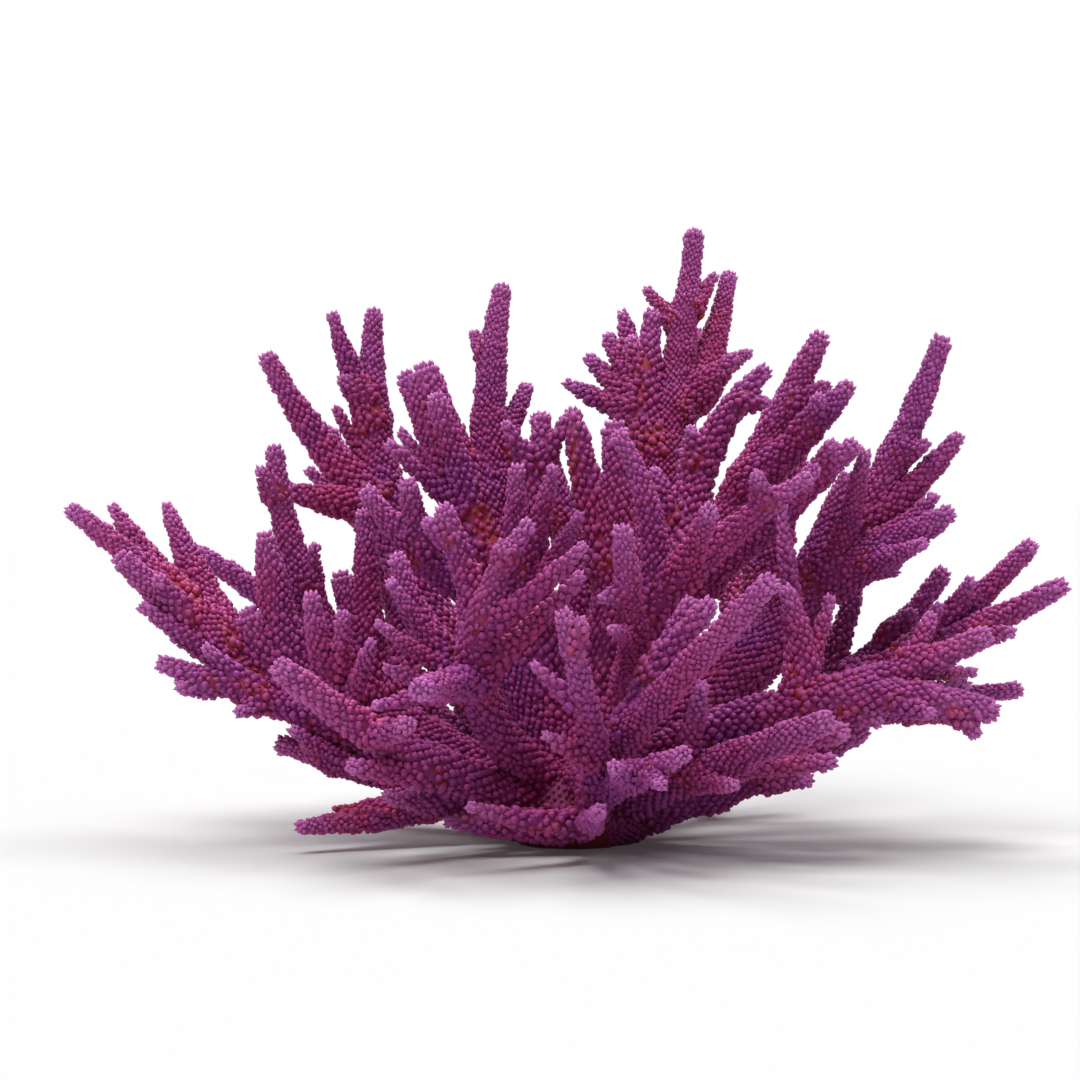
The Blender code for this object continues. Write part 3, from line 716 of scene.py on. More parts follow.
class Colony:
    """The colony's shoots by branch, grown from the branch table."""

    TRUNK_HEIGHTS = (4.0, 16.0, 30.0)
    TRUNK_RADIUS = 20.0
    BRANCH_PHASE = 1.7
    TINE_PHASE = 0.9

    def __init__(self, branches: tuple[Branch, ...]) -> None:
        """Grows every shoot.

        Args:
            branches: the branch table, each parent before its children
        """
        shafts: dict[str, Shoot] = {}
        self.by_branch: dict[str, list[Shoot]] = {}
        foot = (np.array((0.0, 0.0, height)) for height in self.TRUNK_HEIGHTS)
        self.trunk = Shoot(*foot, self.TRUNK_RADIUS, self.TRUNK_RADIUS, 0.0, self.TRUNK_RADIUS)
        for number, branch in enumerate(branches):
            phase = self.BRANCH_PHASE * number
            shaft = self.sprout(shafts.get(branch.parent, self.trunk), branch, phase)
            grown = [shaft]
            for order, tine in enumerate(branch.tines):
                grown.append(self.sprout(shaft, tine, phase + self.TINE_PHASE * order + 0.5))
            shafts[branch.name] = shaft
            self.by_branch[branch.name] = grown
        self.shoots = [shoot for grown in self.by_branch.values() for shoot in grown]

    def sprout(self, parent: Shoot, plan: Branch | Tine, phase: float) -> Shoot:
        """Grows one shoot from a share of its parent's curve.

        Args:
            parent: the shoot that it springs from
            plan: its row in the branch table; without an elbow it droops slightly
            phase: sets its waves apart from other shoots
        Returns:
            the new shoot, entered as a relative of its parent
        """
        start = parent.at(np.array((plan.share,)))[0]
        end = np.array(plan.tip, float)
        if plan.elbow is None:
            bend = (start + end) / 2.0 - UP * GROWTH.droop * np.linalg.norm(end - start)
        else:
            bend = np.array(plan.elbow, float)
        socket = float(parent.radius(np.interp((plan.share,), parent.share_table, parent.run_table))[0])
        shoot = Shoot(start, bend, end, plan.root, plan.end, phase, socket)
        if parent is not self.trunk:
            shoot.relatives.append(parent)
            parent.relatives.append(shoot)
        return shoot


@dataclass
class ShootSkin:
    """The skin of one shoot: a smooth tube with a round end, and the seats of the cups on it.

    The tube's round end and the crown of cups on it are sized as shares of the radius at the tip.
    """

    shoot: Shoot
    around: Neighbourhood
    tint: float
    random: np.random.Generator
    fineness: float = 1.0
    spacing: float = 5.0
    thick_root: float = 6.0
    many_sides: int = 12
    few_sides: int = 9
    root_size: float = 1.25
    size_fall: float = 0.35
    cup_area: float = 7.8
    cup_sizes: Span = (0.74, 1.26)
    cup_width: float = 1.15
    cup_reach: float = 3.2
    shaft_lean: float = 0.9
    tip_lean: float = 1.0
    tip_length: float = 12.0
    tip_stretch: float = 0.15
    run_swing: float = 0.36
    turn_swing: float = 0.32
    aim_swing: float = 0.2
    bare_from: float = 0.8
    bare_slope: float = 1.6
    bare_most: float = 0.12
    bare_end: float = 0.3
    cup_middle: float = 0.6
    table_steps: int = 400
    round_end: Span = (0.5, 0.72)
    peak: float = 0.8
    crown_spacing: float = 1.95
    crown_sizes: Span = (0.85, 1.12)
    crown_height: float = 0.72
    top_cup: Point = (0.8, 0.8, 1.0)
    crown_rings: tuple[tuple[float, float, float, Point], ...] = (
        (-0.15, 1.0, 0.95, (1.0, 0.95, 1.05)),
        (0.42, 0.70, 0.52, (0.9, 0.9, 1.3)),
    )

    def coarseness(self, run: np.ndarray) -> np.ndarray:
        """How much larger the cups are at distances from the root than on an even shaft."""
        return self.root_size - self.size_fall * run / self.shoot.length

    def paleness(self, run: np.ndarray) -> np.ndarray:
        """How pale the growing end makes the skin at distances from the root, from 0 to 1."""
        return np.exp((run - self.shoot.length) / GROWTH.pale_length)

    def sides(self) -> int:
        """How many sides the tube has."""
        return self.many_sides if self.shoot.root > self.thick_root else self.few_sides

    def grow(self, skin: Skin) -> None:
        """Adds the tube and its cups to a skin.

        Args:
            skin: the skin they are added to
        """
        rings = rings_of(self.shoot, self.spacing)
        self.add_tube(skin, rings)
        self.add_seats(skin, rings)
        self.add_crown(skin, rings)

    def swell(self, places: np.ndarray, outward: np.ndarray) -> tuple[np.ndarray, np.ndarray]:
        """Fills the corner of each fork.

        Args:
            places: points on the tube
            outward: the way out of the tube at each
        Returns:
            the points moved out under the web, and the strength of the web at each
        """
        web = self.around.webbing(self.shoot, places)
        places = places + outward * GROWTH.swelling(web)[:, None]
        places[:, 2] = np.maximum(places[:, 2], GROWTH.ground)
        return places, web

    def add_tube(self, skin: Skin, rings: Rings) -> None:
        """Adds the tube's faces, closed at the root and rounded at the tip.

        Args:
            skin: the skin they are added to
            rings: the shoot's cross-sections
        """
        sides = self.sides()
        turn = np.arange(sides) * 2.0 * math.pi / sides
        outward = np.cos(turn)[None, :, None] * rings.across[:, None]
        outward = outward + np.sin(turn)[None, :, None] * rings.over[:, None]
        thick = rings.radius - GROWTH.sunk
        places = rings.middle[:, None] + outward * thick[:, None, None]
        along = np.repeat(rings.run / self.shoot.length, sides)
        flat_places, web = self.swell(places.reshape(-1, 3), outward.reshape(-1, 3))
        end = thick[-1]
        forward, wide = self.round_end
        shoulder = rings.middle[-1] + rings.along[-1] * end * forward + outward[-1] * end * wide
        peak = rings.middle[-1] + rings.along[-1] * end * self.peak
        root = rings.middle[0]
        everything = np.concatenate((flat_places, shoulder, peak[None], root[None]))
        extra = sides + 2
        skin.add(
            everything,
            tube_faces(len(rings.run) + 1, sides),
            along=np.concatenate((along, np.ones(extra))),
            pale=np.concatenate((np.repeat(self.paleness(rings.run), sides), np.ones(extra))),
            web=np.concatenate((web, np.zeros(extra))),
            tint=self.tint,
        )

    def seat_rows(self, rings: Rings) -> tuple[np.ndarray, np.ndarray]:
        """Spreads the seats evenly over the skin.

        Args:
            rings: the shoot's cross-sections
        Returns:
            each seat's distance from the root, and its turn round the shaft
        """
        fine = np.linspace(0.0, rings.run[-1] - self.bare_end * self.shoot.end, self.table_steps)
        skin_radius = np.interp(fine, rings.run, rings.radius) - GROWTH.sunk * self.cup_middle
        coarse = self.fineness * self.coarseness(fine)
        density = 2.0 * math.pi * skin_radius / (self.cup_area * coarse**2)
        number = np.concatenate(([0.0], np.cumsum(0.5 * (density[1:] + density[:-1]) * np.diff(fine))))
        order = np.arange(int(number[-1]))
        run = np.interp(order + 0.5, number, fine) + self.random.normal(0.0, self.run_swing, len(order))
        swing = self.random.normal(0.0, self.turn_swing, len(order)) / skin_radius[0]
        return run, order * GOLDEN_TURN + self.shoot.phase + swing

    def add_seats(self, skin: Skin, rings: Rings) -> None:
        """Adds the seats of the cups, one golden turn apart along the shaft.

        Args:
            skin: the skin they are added to
            rings: the shoot's cross-sections
        """
        shoot = self.shoot
        run, turn = self.seat_rows(rings)
        middle = rings.between(rings.middle, run)
        along = unit(rings.between(rings.along, run))
        across = unit(rings.between(rings.across, run))
        over = np.cross(along, across)
        outward = across * np.cos(turn)[:, None] + over * np.sin(turn)[:, None]
        radius = np.interp(run, rings.run, rings.radius) - GROWTH.sunk
        places = middle + outward * radius[:, None]
        places, web = self.swell(places, outward)
        free = self.around.uncovered(shoot, places, GROWTH.swelling(web))
        share = run / shoot.length
        bare_share = np.clip((web - self.bare_from) * self.bare_slope, 0.0, self.bare_most)
        bare = bare_share > self.random.random(len(run))
        keep = free & ~bare & (places[:, 2] + self.cup_reach * outward[:, 2] > GROWTH.ground)
        near_tip = np.clip((run - rings.run[-1] + self.tip_length) / self.tip_length, 0.0, 1.0)
        lean = self.shaft_lean + (self.tip_lean - self.shaft_lean) * near_tip
        aim = outward * np.cos(lean)[:, None] + along * np.sin(lean)[:, None]
        aim = unit(aim + self.random.normal(0.0, self.aim_swing, aim.shape))
        grow = self.fineness * self.coarseness(run) * self.random.uniform(*self.cup_sizes, len(run))
        plain = np.ones(len(run))
        form = np.stack((self.cup_width * plain, plain, 1.0 + self.tip_stretch * near_tip), axis=1)
        size = grow[:, None] * form
        pale = self.paleness(run)
        tints = {"along": share, "pale": pale, "web": web, "tint": self.tint}
        skin.add_seats(keep, places, aim=aim, lean=along, grow=size, **tints)

    def add_crown(self, skin: Skin, rings: Rings) -> None:
        """Adds the cups round the tip and the one that stands on it.

        Args:
            skin: the skin they are added to
            rings: the shoot's cross-sections
        """
        end = float(rings.radius[-1]) - GROWTH.sunk
        ahead = rings.along[-1]
        middle = rings.middle[-1]
        places = [(middle + ahead * end * self.crown_height)[None]]
        aims = [ahead[None]]
        sizes = [np.array((self.top_cup,))]
        for forward, wide, spread, size in self.crown_rings:
            count = max(3, round(2.0 * math.pi * end * wide / self.crown_spacing))
            turn = (np.arange(count) + 0.5 * forward) * 2.0 * math.pi / count + self.shoot.phase
            outward = rings.across[-1] * np.cos(turn)[:, None] + rings.over[-1] * np.sin(turn)[:, None]
            places.append(middle + ahead * end * forward + outward * end * wide)
            aims.append(unit(outward * spread + ahead))
            sizes.append(self.random.uniform(*self.crown_sizes, count)[:, None] * np.array(size))
        places = np.concatenate(places)
        aim = np.concatenate(aims)
        size = np.concatenate(sizes)
        lean = np.broadcast_to(ahead, aim.shape).copy()
        lean[0] = rings.across[-1]
        keep = self.around.uncovered(self.shoot, places, np.zeros(len(places)))
        tints = {"along": 1.0, "pale": 1.0, "tint": self.tint}
        skin.add_seats(keep, places, aim=aim, lean=lean, grow=size, **tints)


def linear(red: int, green: int, blue: int) -> Colour:
    """A colour in the linear values that shaders use.

    Args:
        red: its red on a screen, from 0 to 255
        green: its green
        blue: its blue
    Returns:
        the linear colour, opaque
    """
    shares = (value / 255.0 for value in (red, green, blue))
    parts = [s / 12.92 if s <= 0.04045 else ((s + 0.055) / 1.055) ** 2.4 for s in shares]
    return (parts[0], parts[1], parts[2], 1.0)


@dataclass(frozen=True)
class LivingFinish:
    """The colours of one part of the colony's living skin."""

    name: str
    slot: str
    shaft: Colour
    pink: Colour
    violet: Colour
    tip: Colour
    pale: Colour
    bare: Colour
    roughness: float = 0.55
    bump: float = 0.35
    bump_depth: float = 0.3
    shine: float = 0.25

    COLOURS = ("Shaft", "Pink", "Violet", "Tip", "Pale", "Bare")

    def material(self, skin: bpy.types.ShaderNodeTree) -> bpy.types.Material:
        """Makes the material.

        Args:
            skin: the shared skin group
        Returns:
            the material
        """
        material = bpy.data.materials.new(self.name)
        material.use_nodes = True
        material.diffuse_color = self.shaft
        board = NodeBoard(material.node_tree)
        shader = material.node_tree.nodes["Principled BSDF"]
        given = {name: getattr(self, name.lower()) for name in self.COLOURS}
        group = board.add("ShaderNodeGroup", node_tree=skin)
        board.fill(group, {**given, "Base Roughness": self.roughness})
        depth = {"Strength": self.bump, "Distance": self.bump_depth * MM, "Height": group.outputs["Height"]}
        bump = board.add("ShaderNodeBump", depth)
        looks = {"Base Color": group.outputs["Colour"], "Roughness": group.outputs["Roughness"]}
        board.fill(shader, {**looks, "Normal": bump.outputs["Normal"], "Specular IOR Level": self.shine})
        return material


class Finish(Enum):
    """The three finishes of the colony, one for each material slot."""

    FOOT = LivingFinish(
        "coral foot", "coral_foot", linear(168, 62, 129), linear(188, 70, 121), linear(146, 66, 143),
        linear(192, 102, 164), linear(206, 124, 184), linear(188, 72, 66),
    )
    ARM = LivingFinish(
        "coral arm", "coral_arm", linear(168, 62, 134), linear(192, 70, 127), linear(148, 68, 157),
        linear(194, 99, 178), linear(213, 124, 196), linear(186, 66, 56),
    )
    BRANCH = LivingFinish(
        "coral branch", "coral_branch", linear(169, 64, 138), linear(192, 71, 131), linear(150, 72, 161),
        linear(198, 103, 184), linear(215, 128, 202), linear(186, 66, 58),
    )


class NodeBoard:
    """A short hand for building a node tree: adds nodes and joins them."""

    def __init__(self, tree: bpy.types.NodeTree) -> None:
        """Keeps the tree."""
        self.tree = tree

    def sockets(self, side: str, kind: str, *names: str) -> None:
        """Gives the tree inputs or outputs of its own.

        Args:
            side: INPUT or OUTPUT
            kind: what they carry, such as Float
            names: their names
        """
        for name in names:
            self.tree.interface.new_socket(name, in_out=side, socket_type=f"NodeSocket{kind}")

    def add(self, kind: str, inputs: Inputs | None = None, **settings: object) -> bpy.types.Node:
        """Adds a node.

        Args:
            kind: its type
            inputs: a socket or a plain value for each named or numbered input
            settings: its own settings
        Returns:
            the node
        """
        node = self.tree.nodes.new(kind)
        for key, value in settings.items():
            setattr(node, key, value)
        self.fill(node, inputs or {})
        return node

    def fill(self, node: bpy.types.Node, inputs: Inputs) -> None:
        """Fills a node's inputs.

        Args:
            node: the node
            inputs: a socket or a plain value for each named or numbered input
        """
        for key, value in inputs.items():
            if isinstance(value, bpy.types.NodeSocket):
                self.tree.links.new(value, node.inputs[key])
            else:
                node.inputs[key].default_value = value

    def math(self, operation: str, first: Value, second: Value, clamp: bool = False) -> bpy.types.NodeSocket:
        """Adds a Math node.

        Args:
            operation: what it does
            first: its first socket or number
            second: its second
            clamp: whether the result stays within 0 and 1
        Returns:
            the result
        """
        parts = {0: first, 1: second}
        return self.add("ShaderNodeMath", parts, operation=operation, use_clamp=clamp).outputs[0]

    def plus(self, first: Value, second: Value) -> bpy.types.NodeSocket:
        """The sum of two sockets or numbers."""
        return self.math("ADD", first, second)

    def minus(self, first: Value, second: Value) -> bpy.types.NodeSocket:
        """The difference of two sockets or numbers."""
        return self.math("SUBTRACT", first, second)

    def times(self, first: Value, *others: Value) -> bpy.types.NodeSocket:
        """The product of sockets and numbers."""
        for other in others:
            first = self.math("MULTIPLY", first, other)
        return first

    def swing(self, value: Value, strength: float) -> bpy.types.NodeSocket:
        """How far a value lies from one half, times a strength."""
        return self.times(self.minus(value, 0.5), strength)

    def spread(self, value: Value, span: Span) -> bpy.types.NodeSocket:
        """Spreads a span of values smoothly over 0 to 1.

        Args:
            value: the socket or number to spread
            span: the values that become 0 and 1
        Returns:
            the result
        """
        ends = {"Value": value, "From Min": span[0], "From Max": span[1]}
        return self.add("ShaderNodeMapRange", ends, interpolation_type="SMOOTHSTEP").outputs["Result"]

    def mix(self, share: Value, first: object, second: object, blend: str = "MIX") -> bpy.types.NodeSocket:
        """Mixes two colours.

        Args:
            share: how much of the second there is
            first: the first colour
            second: the second colour
            blend: how they mix
        Returns:
            the result
        """
        colours = {"Factor": share, 6: first, 7: second}
        return self.add("ShaderNodeMix", colours, data_type="RGBA", blend_type=blend).outputs[2]

    def noise(self, scale: float, detail: float, place: bpy.types.NodeSocket) -> bpy.types.NodeSocket:
        """Adds a noise.

        Args:
            scale: its waves to the metre
            detail: how many finer waves it has
            place: where it is read
        Returns:
            its value
        """
        values = {"Scale": scale, "Detail": detail, "Vector": place}
        return self.add("ShaderNodeTexNoise", values).outputs["Fac"]

    def value_of(self, name: str) -> bpy.types.NodeSocket:
        """The value of one of the skin's own attributes, in a shader."""
        return self.add("ShaderNodeAttribute", attribute_name=name).outputs["Fac"]

    def point_value(self, name: str, kind: str = "FLOAT_VECTOR") -> bpy.types.NodeSocket:
        """The value of one of the skin's own attributes, in geometry nodes."""
        return self.add("GeometryNodeInputNamedAttribute", {"Name": name}, data_type=kind).outputs[0]


@dataclass(frozen=True)
class LivingSkin:
    """The shared effect of living skin.

    Its colour follows the shaft, its violet and pink patches, the pale growing tip, the bare forks and a
    painted shade and highlight on each cup.
    Each span says which values of its mask or noise become 0 and 1.
    """

    broad_scale: float = 26.0
    close_scale: float = 90.0
    patch_scale: float = 60.0
    grain_scale: float = 900.0
    pink_swing: float = 1.1
    wander: float = 0.5
    violet_span: Span = (0.44, 0.64)
    violet_share: float = 0.45
    tip_span: Span = (0.60, 1.05)
    tip_share: float = 0.7
    pale_share: float = 0.45
    low_span: Span = (0.70, 0.15)
    patch_span: Span = (0.68, 0.80)
    fork_span: Span = (0.66, 1.0)
    bare_share: float = 0.9
    # painted shade low on each cup and painted highlight on its top, lifted in the open forks
    painted_cup_shading: Span = (0.80, 1.12)
    fork_painted_shade_lift: float = 0.75
    painted_shade_powers: Point = (1.0, 1.15, 1.0)
    grain_share: float = 0.18
    rough_swing: float = 0.2

    def group(self) -> bpy.types.ShaderNodeTree:
        """Builds the shader node group, which puts out Colour, Roughness and Height.

        Returns:
            the group, with a named input for each colour of a finish
        """
        tree = bpy.data.node_groups.new("living skin", "ShaderNodeTree")
        board = NodeBoard(tree)
        board.sockets("INPUT", "Color", *LivingFinish.COLOURS)
        board.sockets("INPUT", "Float", "Base Roughness")
        board.sockets("OUTPUT", "Color", "Colour")
        board.sockets("OUTPUT", "Float", "Roughness", "Height")
        given = board.add("NodeGroupInput").outputs
        place = board.add("ShaderNodeTexCoord").outputs["Object"]
        rise = board.value_of("rise")
        close = board.noise(self.close_scale, 2.0, place)
        wander = board.swing(close, self.wander)
        forked = board.spread(board.plus(board.value_of("web"), wander), self.fork_span)
        colour = self.living_colour(board, given, place, close, wander)
        patch = board.spread(board.noise(self.patch_scale, 2.0, place), self.patch_span)
        bare = board.times(board.math("MAXIMUM", patch, forked), board.spread(rise, self.low_span))
        colour = board.mix(board.times(bare, self.bare_share), colour, given["Bare"])
        # painted shade between the cups and painted highlight on their tops
        colour = board.mix(1.0, colour, self.shade(board, rise, forked), "MULTIPLY")
        fine = board.noise(self.grain_scale, 2.0, place)
        grain = board.mix(self.grain_share, colour, board.mix(fine, BLACK, WHITE), "OVERLAY")
        rough = board.plus(given["Base Roughness"], board.swing(fine, self.rough_swing))
        board.add("NodeGroupOutput", {"Colour": grain, "Roughness": rough, "Height": fine})
        return tree

    def living_colour(
        self,
        board: NodeBoard,
        given: bpy.types.NodeOutputs,
        place: bpy.types.NodeSocket,
        close: bpy.types.NodeSocket,
        wander: bpy.types.NodeSocket,
    ) -> bpy.types.NodeSocket:
        """The colour of the skin where it is neither bare nor shaded.

        Args:
            board: the board of the group
            given: the group's inputs
            place: where its noises are read
            close: the close noise
            wander: how far the edge of the tip's colour wanders
        Returns:
            the colour
        """
        pinkness = board.math("ADD", board.value_of("tint"), board.swing(close, self.pink_swing), clamp=True)
        colour = board.mix(pinkness, given["Shaft"], given["Pink"])
        broad = board.spread(board.noise(self.broad_scale, 3.0, place), self.violet_span)
        colour = board.mix(board.times(broad, self.violet_share), colour, given["Violet"])
        tipness = board.spread(board.plus(board.value_of("along"), wander), self.tip_span)
        colour = board.mix(board.times(tipness, self.tip_share), colour, given["Tip"])
        return board.mix(board.times(board.value_of("pale"), self.pale_share), colour, given["Pale"])

    def shade(self, board: NodeBoard, rise: Value, forked: Value) -> bpy.types.NodeSocket:
        """Painted shade low between the cups and painted highlight on their tops, lighter in the open forks.

        Args:
            board: the board of the group
            rise: how high on its cup a point is
            forked: how open the web of a fork is
        Returns:
            the painted shade and highlight as a colour
        """
        ends = {"Value": rise, "To Min": self.painted_cup_shading[0], "To Max": self.painted_cup_shading[1]}
        lift = board.add("ShaderNodeMapRange", ends).outputs["Result"]
        light = board.math("MAXIMUM", lift, board.times(forked, self.fork_painted_shade_lift))
        parts = {index: board.math("POWER", light, power) for index, power in enumerate(self.painted_shade_powers)}
        return board.add("ShaderNodeCombineColor", parts).outputs[0]


@dataclass(frozen=True)
class Cup:
    """One leaning cup of the skin, in millimetres, before its size is varied."""

    sides: int = 5
    width: float = 2.2
    height: float = 2.95
    bulge: float = 1.2
    shoulder: float = 0.12
    lean: float = 0.3
    sunk: float = 0.7
    unevenness: float = 0.2

    LENGTHS = ("Width", "Height", "Lean", "Sunk")
    SHARES = ("Bulge", "Shoulder", "Unevenness")

    def inputs(self) -> dict[str, float]:
        """The cup's sizes in metres and its shares, by the names of the tree's inputs."""
        lengths = {name: getattr(self, name.lower()) * MM for name in self.LENGTHS}
        return lengths | {name: getattr(self, name.lower()) for name in self.SHARES}

    def tree(self) -> bpy.types.GeometryNodeTree:
        """Builds the geometry nodes that grow a cup on every seat of a skin.

        Returns:
            the tree, with a named input for each size, the seed and the finish
        """
        tree = bpy.data.node_groups.new("cups on seats", "GeometryNodeTree")
        board = NodeBoard(tree)
        board.sockets("INPUT", "Geometry", "Geometry")
        board.sockets("INPUT", "Float", *self.LENGTHS, *self.SHARES)
        board.sockets("INPUT", "Int", "Seed")
        board.sockets("INPUT", "Material", "Finish")
        board.sockets("OUTPUT", "Geometry", "Geometry")
        given = board.add("NodeGroupInput").outputs
        over_half = {"A": board.point_value("seat", "FLOAT"), "B": 0.5}
        compare = board.add("FunctionNodeCompare", over_half, data_type="FLOAT", operation="GREATER_THAN")
        is_seat = compare.outputs[0]
        seats = {"Points": given["Geometry"], "Selection": is_seat, "Instance": self.form(board, given)}
        turned = {"Rotation": self.turn(board), "Scale": self.scale(board, given)}
        placed = board.add("GeometryNodeInstanceOnPoints", {**seats, **turned})
        real = board.add("GeometryNodeRealizeInstances", {0: placed.outputs[0]})
        loose = {"Geometry": given["Geometry"], "Selection": is_seat}
        tube = board.add("GeometryNodeDeleteGeometry", loose, domain="POINT")
        both = board.add("GeometryNodeJoinGeometry", {0: real.outputs[0]})
        board.fill(both, {0: tube.outputs[0]})
        finished = {"Geometry": both.outputs[0], "Material": given["Finish"]}
        last = board.add("GeometryNodeSetMaterial", finished)
        board.add("NodeGroupOutput", {0: last.outputs[0]})
        return tree

    def form(self, board: NodeBoard, given: bpy.types.NodeOutputs) -> bpy.types.NodeSocket:
        """The form of one cup: a cone with a swollen belly that leans forward.

        Args:
            board: the board of the tree
            given: the tree's inputs
        Returns:
            the cup's geometry, with its rise from 0 to 1 as an attribute
        """
        sizes = {"Vertices": self.sides, "Side Segments": 2, "Radius Top": 0.0, "Depth": given["Height"]}
        cone = board.add("GeometryNodeMeshCone", sizes, fill_type="NGON")
        board.fill(cone, {"Radius Bottom": board.times(given["Width"], 0.5)})
        position = board.add("GeometryNodeInputPosition").outputs[0]
        x, y, z = board.add("ShaderNodeSeparateXYZ", {0: position}).outputs
        rise = board.math("DIVIDE", z, given["Height"])
        belly = board.times(rise, board.minus(1.0, rise), 4.0)
        swollen = board.plus(1.0, board.times(belly, given["Bulge"]))
        forward = board.times(rise, rise, given["Lean"])
        lifted = board.plus(z, board.times(belly, given["Height"], given["Shoulder"]))
        moved = {
            "X": board.plus(board.times(x, swollen), forward),
            "Y": board.times(y, swollen),
            "Z": board.minus(lifted, given["Sunk"]),
        }
        risen = {"Geometry": cone.outputs["Mesh"], "Name": "rise", "Value": rise}
        store = board.add("GeometryNodeStoreNamedAttribute", risen, data_type="FLOAT", domain="POINT")
        place = board.add("ShaderNodeCombineXYZ", moved).outputs[0]
        shape = board.add("GeometryNodeSetPosition", {"Geometry": store.outputs[0], "Position": place})
        return board.add("GeometryNodeSetShadeSmooth", {"Geometry": shape.outputs[0]}).outputs[0]

    def turn(self, board: NodeBoard) -> bpy.types.NodeSocket:
        """The turn of each cup, which points along its aim and leans along its lean.

        Args:
            board: the board of the tree
        Returns:
            the turn
        """
        turned = {}
        for name, axis, pivot in (("aim", "Z", "AUTO"), ("lean", "X", "Z")):
            way = {"Vector": board.point_value(name), **turned}
            align = board.add("FunctionNodeAlignRotationToVector", way, axis=axis, pivot_axis=pivot)
            turned = {"Rotation": align.outputs[0]}
        return turned["Rotation"]

    def scale(self, board: NodeBoard, given: bpy.types.NodeOutputs) -> bpy.types.NodeSocket:
        """The scale of each cup: its growth, made a little uneven.

        Args:
            board: the board of the tree
            given: the tree's inputs
        Returns:
            the scale
        """
        least, most = (board.plus(1.0, board.times(given["Unevenness"], sign)) for sign in (-1.0, 1.0))
        ends = {0: least, 1: most, "Seed": given["Seed"]}
        uneven = board.add("FunctionNodeRandomValue", ends, data_type="FLOAT_VECTOR").outputs[0]
        parts = {0: uneven, 1: board.point_value("grow")}
        return board.add("ShaderNodeVectorMath", parts, operation="MULTIPLY").outputs[0]


class Dresser:
    """Turns a skin into a finished piece: grows its cups and gives it its finish."""

    SPARE = ("aim", "lean", "grow", "seat")

    def __init__(self, cup: Cup, skin: LivingSkin) -> None:
        """Builds what the pieces share.

        Args:
            cup: the cup that the skin is covered with
            skin: the effect that every finish uses
        """
        self.cup = cup
        self.tree = cup.tree()
        group = skin.group()
        self.materials = {finish: finish.value.material(group) for finish in Finish}

    def dress(self, name: str, node: str, skin: Skin, finish: Finish, seed: int) -> int:
        """Makes the piece that stands for a node.

        Args:
            name: the piece's name
            node: the node it replaces
            skin: its faces and seats
            finish: its finish
            seed: sets its cups apart from other pieces
        Returns:
            how many triangles it has
        """
        piece = bpy.data.objects.new(name, skin.mesh(name))
        bpy.context.scene.collection.objects.link(piece)
        modifier = piece.modifiers.new("Cups", "NODES")
        modifier.node_group = self.tree
        values = {**self.cup.inputs(), "Seed": seed, "Finish": self.materials[finish]}
        for item in self.tree.interface.items_tree:
            if item.in_out == "INPUT" and item.name in values:
                modifier[item.identifier] = values[item.name]
        graph = bpy.context.evaluated_depsgraph_get()
        data = bpy.data.meshes.new_from_object(piece.evaluated_get(graph))
        piece.modifiers.remove(modifier)
        bare = piece.data
        piece.data = data
        bpy.data.meshes.remove(bare)
        data.name = name
        data.shade_smooth()
        for spare in self.SPARE:
            if spare in data.attributes:
                data.attributes.remove(data.attributes[spare])
        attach(piece, BODY)
        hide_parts(node)
        data.calc_loop_triangles()
        LOG.info("%s: %d triangles", name, len(data.loop_triangles))
        return len(data.loop_triangles)


